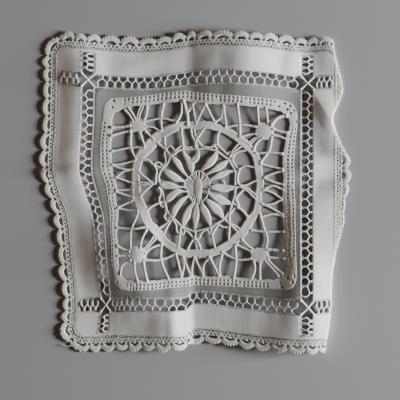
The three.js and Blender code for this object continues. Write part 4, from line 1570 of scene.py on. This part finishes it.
@dataclass
class LaceCentre:
    """The needle lace: its frame, ring, wheel of leaves, bars and corner pads."""

    shop: Workshop
    lines: FrameLines
    read: ReadLace = ReadLace()
    corner_cells: int = 6
    side_cells: int = 37
    cell_steps: tuple[float, ...] = (0.0, 0.25, 0.75)
    frame_rows: tuple[float, ...] = (-0.05, 0.09, 0.26, 0.48, 0.65, 0.76, 0.87, 1.0)
    hole_rows: tuple[int, ...] = (1, 3)
    frame_wander: float = 0.06
    frame_sway: float = 0.03
    rim_height: float = 0.14
    missed_in_corner: float = 0.7
    missed_by_corner: float = 0.4
    missed_in_side: float = 0.03
    by_corner: float = 0.06
    thickness: float = 0.6
    ring_columns: int = 300
    ring_profile: tuple[float, ...] = (0.3, 0.42, 0.36, 0.34, 0.34, 0.36, 0.42, 0.3)
    ring_fullness: float = 0.5
    ring_wave: float = 0.14
    rib_height: float = 0.05
    leaf_cells: tuple[int, int] = (26, 8)
    full_leaf: float = 4.0
    core_ribs: int = 14
    pad_ribs: int = 12
    pad_rows: int = 9
    pad_height: float = 0.5
    pad_weld: float = 0.05
    woven_thickness: float = 0.5
    hub: Point = (198, 187.5)
    rim_bar: float = 0.54
    spokes: int = 34
    spoke_bar: float = 0.5
    spoke_reach: Point = (0.2, 0.98)
    spoke_hole: Point = (-1.1, -0.12)
    outer_end: Point = (1.6, 0.55)
    wheel_end: Point = (0.35, 0.15)
    tucked_from: float = 0.5
    stitch_step: float = 0.46
    knot: float = 0.95
    knot_swell: tuple[float, ...] = (0.35, 0.75, 0.95, 1, 0.95, 0.75, 0.35)
    press: float = 0.6

    def placed(self, mesh: bpy.types.Mesh) -> Piece:
        """Places a piece of the lace."""
        return self.shop.place(mesh, Node.CENTRE, Slot.CENTRE, self.shop.finishes.lace)

    def frame(self) -> Piece:
        """Works the frame with its two rows of small square holes.

        Returns:
            The frame.
        """
        rng = np.random.default_rng(SEED + 3)
        per_cell = len(self.cell_steps)
        stations, cell = self.lines.stations(self.corner_cells, self.side_cells, self.cell_steps)
        columns = len(stations) - 1
        rows = np.array(self.frame_rows)
        wander = rng.normal(0, self.frame_wander, (columns, len(rows)))
        sway = wavy(columns, 26, rng) * self.frame_sway
        inner = wavy(columns, 90, rng) * self.frame_sway

        def shape(column: Array, row: Array) -> Array:
            """Gives the frame's corners, with a raised inner rim.

            Args:
                column: The column of each corner.
                row: The row of each corner.

            Returns:
                Rows of u, v, height.
            """
            k = column % columns
            last = row == len(rows) - 1
            along = stations[column] + wander[k, row] * cell[k]
            share = rows[row] + np.where(rows[row] > 0.05, sway[k], 0) + np.where(last, inner[k], 0)
            rim = self.rim_height * last
            crown = 0.2 + 0.16 * np.sin(np.pi * np.clip(rows[row], 0, 1)) + rim + 0.01 * (k % per_cell == 0)
            return np.c_[self.lines.place(along, share), crown]

        work = grid(columns, len(rows) - 1, shape)
        gone = []
        for k, face in enumerate(list(work.faces)):
            column, row = k % columns, k // columns
            if row not in self.hole_rows or column % per_cell != 1:
                continue
            run = stations[column]
            near_end = min(run % 1, 1 - run % 1)
            missed = self.missed_by_corner if near_end < self.by_corner else self.missed_in_side
            if int(run) % 2 == 0:
                missed = self.missed_in_corner
            if rng.random() >= missed:
                gone.append(face)
        bmesh.ops.delete(work, geom=gone, context="FACES")
        thicken(work, self.thickness, WELD)
        piece = self.placed(mesh_of(work, "lace_frame"))
        self.rounded_off(piece)
        return piece

    def rounded_off(self, piece: Piece) -> None:
        """Rounds a piece's holes and edges with one step of subdivision."""
        step = piece.modifiers.new("rounded", "SUBSURF")
        step.levels = step.render_levels = 1

    def outline(self, line: Line, middle: Array, angle: Array) -> Array:
        """Gives how far a read outline lies from a middle place.

        Args:
            line: The outline.
            middle: The middle place.
            angle: The directions to look in.

        Returns:
            One distance for each direction.
        """
        reach = WHOLE.flat(self.shop.cloth, line) - middle
        return np.interp(
            angle, np.arctan2(reach[:, 1], reach[:, 0]), np.linalg.norm(reach, axis=1), period=2 * np.pi
        )

    def ring(self) -> Piece:
        """Works the broad flat ring.

        Returns:
            The ring.
        """
        rng = np.random.default_rng(SEED + 4)
        columns, rows = self.ring_columns, len(self.ring_profile) - 1
        edges = self.read.ring
        middle = WHOLE.flat(self.shop.cloth, edges[0]).mean(axis=0)
        angles = 2 * np.pi * np.arange(columns) / columns
        soft = np.array([1, 4, 6, 4, 1]) / 16
        outer, inner = (
            np.convolve(np.pad(self.outline(line, middle, angles), 2, mode="wrap"), soft, "valid")
            + wavy(columns, 90, rng) * self.ring_wave
            for line in edges
        )
        outer, inner = outer + self.ring_fullness, inner - self.ring_fullness
        ribs = rng.normal(0, self.rib_height, (columns, rows + 1))
        profile = np.array(self.ring_profile)

        def shape(column: Array, row: Array) -> Array:
            """Gives the ring's corners, with ribs across it.

            Args:
                column: The column of each corner.
                row: The row of each corner.

            Returns:
                Rows of u, v, height.
            """
            k = column % columns
            radius = outer[k] + (inner[k] - outer[k]) * row / rows
            height = profile[row] + ribs[k, row]
            return np.c_[middle + radius[:, None] * np.c_[np.cos(angles[k]), np.sin(angles[k])], height]

        work = grid(columns, rows, shape)
        thicken(work, self.thickness, WELD)
        piece = self.placed(mesh_of(work, "lace_ring"))
        self.rounded_off(piece)
        return piece

    def leaf(self, edges: tuple[Line, Line]) -> Work:
        """Weaves one leaf between its two edges.

        Args:
            edges: Its two edges, from tip to foot.

        Returns:
            The leaf as closed flat work.
        """
        columns, rows = self.leaf_cells
        left, right = (spaced(rounded(WHOLE.flat(self.shop.cloth, line), 6), columns) for line in edges)
        body = np.clip(np.linalg.norm(right - left, axis=1) / self.full_leaf, 0.3, 1.0)

        def shape(column: Array, row: Array) -> Array:
            """Gives the leaf's corners, full in the middle with a groove along it.

            Args:
                column: The column of each corner.
                row: The row of each corner.

            Returns:
                Rows of u, v, height.
            """
            s = 2 * (row / rows) - 1
            wide = (1.06 + 0.04 * (-1.0) ** column) * s / 2 + 0.5
            place = left[column] + (right - left)[column] * wide[:, None]
            groove = 1 - 0.22 * np.exp(-((s / 0.2) ** 2))
            swell = np.sqrt(np.clip(1 - s * s, 0, 1)) ** 0.7 * groove
            return np.c_[place, 0.15 + 0.62 * swell * body[column] + 0.05 * (-1.0) ** (column + row)]

        work = grid(columns, rows, shape)
        thicken(work, self.woven_thickness)
        return work

    def pad(self, line: Line, ribs: int) -> Work:
        """Weaves a pad inside an outline.

        Args:
            line: The outline.
            ribs: Ribs round it.

        Returns:
            The pad as closed flat work.
        """
        columns, rows = ribs * 4, self.pad_rows
        middle = WHOLE.flat(self.shop.cloth, line).mean(axis=0)
        angles = 2 * np.pi * np.arange(columns + 1) / columns
        reach = self.outline(line, middle, angles)

        def shape(column: Array, row: Array) -> Array:
            """Gives the pad's corners, woven over and under its ribs.

            Args:
                column: The column of each corner.
                row: The row of each corner.

            Returns:
                Rows of u, v, height.
            """
            share = np.maximum(row, 0.02) / rows
            angle = angles[column]
            weave = 0.08 * np.cos(ribs * angle + np.pi * row) * (row > 0)
            away = (reach[column] * share * (1 + 0.03 * np.cos(ribs * angle)))[:, None]
            height = 0.2 + self.pad_height * np.clip(1 - 0.8 * share**3, 0, 1) * (0.85 + weave)
            return np.c_[middle + away * np.c_[np.cos(angle), np.sin(angle)], height]

        work = grid(columns, rows, shape)
        thicken(work, self.woven_thickness, self.pad_weld)
        return work

    def wheel(self) -> Piece:
        """Weaves the leaves, the hub's core and the corner pads.

        Returns:
            The woven parts.
        """
        whole = bmesh.new()
        core, *pads = self.read.pads
        parts = [self.leaf(edges) for edges in zip(self.read.leaves[::2], self.read.leaves[1::2])]
        parts.append(self.pad(core, self.core_ribs))
        parts += [self.pad(line, self.pad_ribs) for line in pads]
        for work in parts:
            gather(whole, work)
        return self.placed(mesh_of(whole, "woven_leaves"))

    def overcast(
        self, threads: Threads, rng: Rng, places: Array, radius: float, end: Point = (0.0, 0.0)
    ) -> None:
        """Overcasts one bar.

        Args:
            threads: Takes the bar.
            rng: Gives the unevenness of hand work.
            places: Flat places along it.
            radius: Half its thickness.
            end: How far its ends run on into the work, and how much they widen there.
        """
        reach, flare = end
        ends = [places[0] - places[1], places[-1] - places[-2]]
        ends = [way / np.linalg.norm(way) * reach for way in ends]
        line = np.vstack([places[0] + ends[0], *places[1:-1], places[-1] + ends[1]])
        run = resampled(rounded(line, 8), self.stitch_step)
        count = len(run)
        away = np.minimum(np.arange(count), np.arange(count)[::-1]) * self.stitch_step
        spread = 1 + flare * np.exp(-np.maximum(away - reach, 0) / 1.1)
        uneven = 1 + 0.08 * np.cos(np.pi * np.arange(count)) + rng.normal(0, 0.06, count)
        tucked = 1 - ease(away, 0.0, reach) if reach > self.tucked_from else np.zeros(count)
        threads.add(np.c_[run, 0.05 - 0.36 * tucked], radius * spread * uneven * (1 - 0.25 * tucked))

    def bars(self) -> Piece:
        """Overcasts every bar and knots their crossings.

        Returns:
            The bars.
        """
        rng = np.random.default_rng(SEED + 6)
        cloth = self.shop.cloth
        threads = Threads()
        for reading, (radius, places) in self.read.outer_bars():
            self.overcast(threads, rng, reading.flat(cloth, places), radius, self.outer_end)
        for radius, places in self.read.wheel:
            self.overcast(threads, rng, WHOLE.flat(cloth, places), radius, self.wheel_end)
        rim = self.read.rim
        middle = WHOLE.flat(cloth, [self.hub])[0]
        self.overcast(threads, rng, WHOLE.flat(cloth, (*rim, rim[0])), self.rim_bar)
        angles = np.linspace(-np.pi, np.pi, self.spokes, endpoint=False)
        angles = angles + rng.uniform(-0.05, 0.05, self.spokes)
        for angle, away in zip(angles, self.outline(rim, middle, angles)):
            if not self.spoke_hole[0] < angle < self.spoke_hole[1]:
                way = np.array([np.cos(angle), np.sin(angle)])
                ends = [share * away for share in self.spoke_reach]
                self.overcast(threads, rng, middle + np.outer(ends, way), self.spoke_bar)
        steps = len(self.knot_swell)
        for u, v in WHOLE.flat(cloth, self.read.knots):
            knot = np.c_[u + np.linspace(-1, 1, steps), np.full(steps, v), np.full(steps, 0.3)]
            threads.add(knot, self.knot * np.array(self.knot_swell))
        return self.placed(threads.mesh("lace_bars", 1, self.press))

    def build(self) -> list[Piece]:
        """Works the whole centre and returns its pieces."""
        return [self.frame(), self.ring(), self.wheel(), self.bars()]


@dataclass
class LaceEdging:
    """The edging: ribbed scallops with small loops, each with a half-moon or arrow slit, on a holed footing."""

    shop: Workshop
    corner: float = LINEN_CORNER
    corner_gap: float = 17
    corner_pitch: float = 8.5
    right_side: int = 17
    valley: float = 6.6
    depth: float = 10.2
    columns: int = 30
    loops: int = 6
    loop_height: float = 1.05
    rows: tuple[float, ...] = (-0.05, 0.05, 0.16, 0.25, 0.37, 0.44, 0.52, 0.59, 0.65, 0.75, 0.86, 0.94, 1.0)
    footing: tuple[Hole, ...] = (
        (1, 1, 3), (1, 7, 9), (1, 13, 16), (1, 20, 22), (1, 26, 28), (3, 4, 6), (3, 10, 12), (3, 17, 19),
        (3, 23, 25), (7, 28, 29), (7, 0, 1), (8, 27, 29), (8, 0, 2), (9, 28, 29), (9, 0, 1),
    )
    half_moon: tuple[Hole, ...] = ((5, 8, 21), (6, 6, 23), (7, 9, 20))
    arrow: tuple[Hole, ...] = ((5, 7, 11), (5, 18, 22), (6, 7, 22), (7, 11, 18))
    arrow_share: float = 0.45
    raised_rows: tuple[int, int] = (5, 8)
    base: float = 0.18
    thickness: float = 0.65
    # The notches between scallops, read on the picture: top from the right, left from the top, bottom from the
    # left.
    notches: tuple[Line, Line, Line] = (
        (
            (318, 42), (307, 40), (294.5, 41), (278, 41), (263, 40), (249, 36), (233, 34), (212, 34),
            (196, 37), (186, 37), (171.5, 39), (156.5, 40), (139, 41), (120, 43), (101, 42), (86.5, 41),
        ),
        (
            (50, 68), (47.5, 82), (45, 98.5), (43, 116), (43, 132.5), (41.5, 150), (41, 167.5), (42, 183.5),
            (50, 199), (52, 214), (58, 229), (60, 246), (59.5, 264.5), (60, 281.5), (61, 297.5), (62, 310.5),
            (63, 322),
        ),
        (
            (75, 347), (89, 348.5), (101, 347), (115, 344), (128, 344), (142, 346), (155, 348), (171, 347),
            (188, 343), (204, 341), (221, 341), (238, 341), (254, 346), (270, 349), (287, 349), (304.5, 345),
            (318, 348),
        ),
    )
    whip_step: float = 1.4
    whip: float = 0.21
    loose_thread: float = 0.3
    loose_end: Line = ((394, 1388), (352, 1402), (314, 1409), (286, 1399), (264, 1404))

    @property
    def straight(self) -> float:
        """Half the straight part of a side."""
        return LINEN_HALF - self.corner

    @property
    def arc(self) -> float:
        """The length of a rounded corner."""
        return self.corner * np.pi / 2

    @property
    def turn(self) -> float:
        """The length of a corner and the side after it."""
        return 2 * self.straight + self.arc

    def bounds(self) -> Array:
        """Gives where each scallop ends along the linen's edge, from the right end of the top corner.

        Returns:
            Lengths along the edge, the last one a full turn after the first.
        """
        straight, arc, turn = self.straight, self.arc, self.turn
        marks: list[float] = []
        for side, line in enumerate(self.notches):
            flat = WHOLE.flat(self.shop.cloth, line)
            along = straight + (-flat[:, 0], -flat[:, 1], flat[:, 0])[side]
            along = along[(along > 0) & (along < 2 * straight)]
            marks.extend(side * turn + arc + along)
        marks.extend(3 * turn + arc + np.linspace(0, 2 * straight, self.right_side + 1))
        out = [marks[0]]
        for mark in (*marks[1:], marks[0] + 4 * turn):
            gap = mark - out[-1]
            pieces = max(1, int(round(gap / self.corner_pitch))) if gap > self.corner_gap else 1
            out.extend(out[-1] + gap * (np.arange(pieces) + 1) / pieces)
        return np.array(out)

    def place(self, at: Array, out: Array) -> Array:
        """Gives flat places of the edging.

        Args:
            at: Lengths along the linen's edge.
            out: Distances out from it.

        Returns:
            Rows of u, v.
        """
        side, k = np.divmod(at, self.turn)
        angle = np.clip(k / self.arc, 0, 1) * np.pi / 2
        reach = self.corner + out
        back = np.maximum(k - self.arc, 0)
        x = self.straight + reach * np.cos(angle) - back
        y = self.straight + reach * np.sin(angle)
        c, s = np.cos(side * np.pi / 2), np.sin(side * np.pi / 2)
        return np.stack([c * x - s * y, s * x + c * y], axis=1)

    def unit(self, holes: Sequence[Hole]) -> tuple[Array, list[list[int]]]:
        """Makes one scallop, a unit wide, with its holes.

        Args:
            holes: The holes, each a row and its first and last column.

        Returns:
            Rows of share along, distance out and height, and the faces.
        """
        rows = np.array(self.rows)

        def shape(column: Array, row: Array) -> Array:
            """Gives the scallop's corners, looped at the edge and raised round its slit.

            Args:
                column: The column of each corner.
                row: The row of each corner.

            Returns:
                Rows of share along, distance out, height.
            """
            s = column / self.columns
            t = rows[row]
            arch = np.sin(np.pi * np.clip(s, 0, 1)) ** 0.6
            out = t * (self.valley + (self.depth - self.valley) * arch)
            loop = np.abs(np.sin(np.pi * self.loops * s)) ** 0.6 * self.loop_height
            out = out + loop * np.select([row == len(rows) - 1, row == len(rows) - 2], [1.0, 0.3], 0.0)
            fan = ease(t, 0.62, 0.74) * (1 - 0.5 * ease(t, 0.9, 1.0))
            rib = 0.02 * np.cos(2 * np.pi * (self.loops * s - 0.5)) * fan
            raised = np.isin(row, self.raised_rows) & (np.abs(s - 0.5) < 0.36)
            crown = self.base + 0.26 * fan * arch + 0.14 * raised
            edge = (column == 0) | (column == self.columns)
            return np.stack([s, out, np.where(edge, self.base, crown + rib)], axis=1)

        work = grid(self.columns, len(rows) - 1, shape)
        faces = list(work.faces)
        gone = {row * self.columns + c for row, first, last in holes for c in range(first, last + 1)}
        bmesh.ops.delete(work, geom=[faces[k] for k in sorted(gone)], context="FACES")
        top = self.valley + 1.0
        inside = [v for v in work.verts if v.is_boundary and 0.02 < v.co.x < 0.98 and 0.3 < v.co.y < top]
        bmesh.ops.smooth_vert(work, verts=inside, factor=0.35, use_axis_x=True, use_axis_y=True)
        work.verts.index_update()
        unit = np.array([v.co[:] for v in work.verts])
        made = [[v.index for v in f.verts] for f in work.faces]
        work.free()
        return unit, made

    def scallops(self) -> Piece:
        """Sets the scallops round the linen.

        Returns:
            The edging.
        """
        rng = np.random.default_rng(SEED + 9)
        kinds = [self.unit((*self.footing, *moon)) for moon in (self.half_moon, self.arrow)]
        bounds = self.bounds()
        whole = bmesh.new()
        for start, end in zip(bounds, bounds[1:]):
            unit, faces = kinds[int(rng.random() < self.arrow_share)]
            share, out, height = unit.T
            middle = np.sin(np.pi * share)
            grow = 1 + rng.uniform(-0.07, 0.07) * middle * ease(out, 4, 8)
            lean = rng.uniform(-0.06, 0.06) * middle * ease(out, 3, 10)
            lift = rng.uniform(-0.1, 0.3) * middle * ease(out, 5, 10)
            at = start + (share + lean) * (end - start)
            places = np.c_[self.place(at, out * grow), height + lift]
            verts = [whole.verts.new(p) for p in places]
            for face in faces:
                whole.faces.new([verts[k] for k in face])
        thicken(whole, self.thickness, WELD)
        mesh = mesh_of(whole, "scalloped_edging")
        return self.shop.place(mesh, Node.EDGING, Slot.EDGING, self.shop.finishes.edging)

    def seam(self) -> Piece:
        """Whips the edging to the hem and leaves the thread's end loose at the lower left.

        Returns:
            The whip stitches and the loose end.
        """
        rng = np.random.default_rng(SEED + 10)
        threads = Threads()
        for start in np.arange(0, 4 * self.turn - self.whip_step / 2, self.whip_step):
            start = start + rng.uniform(-0.2, 0.2)
            along = np.array([start, start + 0.55, start + 1.1])
            places = self.place(along, np.array([-rng.uniform(0.7, 1.1), 0.0, 0.7]))
            threads.add(np.c_[places, [0.1, 0.45, 0.2]], self.whip)
        end = rounded(LOW_LEFT.flat(self.shop.cloth, self.loose_end))
        threads.add(np.c_[end, np.linspace(0.2, 0.0, len(end))], self.loose_thread)
        mesh = threads.mesh("edging_seam", 0)
        return self.shop.place(mesh, Node.EDGING, Slot.EDGING, self.shop.finishes.edging)

    def build(self) -> list[Piece]:
        """Works the whole edging and returns its pieces."""
        return [self.scallops(), self.seam()]


@dataclass(frozen=True)
class Lamp:
    """A soft square lamp that looks at the doily."""

    name: str
    place: tuple[float, float, float]
    power: float
    size: float
    colour: Colour

    def hang(self) -> None:
        """Hangs the lamp."""
        light = bpy.data.lights.new(self.name, "AREA")
        light.energy = self.power
        light.size = self.size
        light.color = self.colour
        lamp = bpy.data.objects.new(self.name, light)
        lamp.location = self.place
        lamp.rotation_euler = (-Vector(self.place)).to_track_quat("-Z", "Y").to_euler()
        bpy.context.scene.collection.objects.link(lamp)


@dataclass
class Studio:
    """A plain pale floor, soft light from the right and a camera straight above."""

    centre: Point = (0.00411, -0.00601)
    view: float = 0.300
    camera_height: float = 1.5
    sensor: float = 36.0
    floor_half: float = 2.0
    floor_colour: Colour = (0.34, 0.34, 0.345)
    lamps: tuple[Lamp, ...] = (
        Lamp("window_side", (1.95, -0.05, 0.385), 152.0, 0.55, (0.93, 0.975, 1.0)),
        Lamp("room_side", (-1.2, 0.1, 0.5), 1.7, 0.9, (1.0, 0.69, 0.50)),
    )
    room_colour: Colour = (1.0, 0.72, 0.52)
    room_light: float = 0.043

    def floor(self) -> None:
        """Lays the floor."""
        work = bmesh.new()
        bmesh.ops.create_grid(work, x_segments=4, y_segments=4, size=self.floor_half)
        mesh = mesh_of(work, "floor")
        material = bpy.data.materials.new("pale_floor")
        n = Nodes(material)
        solid = n.add("ShaderNodeTexCoord").outputs["Object"]
        light = tuple(c * 1.03 for c in self.floor_colour)
        n.surface(n.ramp(n.noise(solid, 3.0), ((0.3, self.floor_colour), (0.7, light))), Roughness=0.9)
        mesh.materials.append(material)
        piece = bpy.data.objects.new("floor", mesh)
        bpy.context.scene.collection.objects.link(piece)

    def build(self) -> None:
        """Sets the floor, the lamps, the room's light and the camera."""
        self.floor()
        for lamp in self.lamps:
            lamp.hang()
        world = bpy.data.worlds.new("room")
        world.use_nodes = True
        background = world.node_tree.nodes["Background"]
        background.inputs["Color"].default_value = (*self.room_colour, 1)
        background.inputs["Strength"].default_value = self.room_light
        bpy.context.scene.world = world
        data = bpy.data.cameras.new("above")
        data.sensor_width = self.sensor
        data.lens = self.sensor * self.camera_height / self.view
        data.clip_end = 10.0
        camera = bpy.data.objects.new("above", data)
        camera.location = (*self.centre, self.camera_height)
        bpy.context.scene.collection.objects.link(camera)
        bpy.context.scene.camera = camera


def main() -> None:
    """Builds the doily in order."""
    logging.basicConfig(level=logging.INFO, format="%(message)s")
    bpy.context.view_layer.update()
    shop = Workshop(LaidCloth(), Finishes())
    lines = FrameLines(shop.cloth)
    linen = LinenGround(shop, lines)
    cloth = linen.sheet()
    sewn = [linen.stitching(), *DrawnWork(shop).build()]
    sewn += LaceCentre(shop, lines).build()
    sewn += LaceEdging(shop).build()
    Studio().build()


if __name__ == "__main__":
    main()
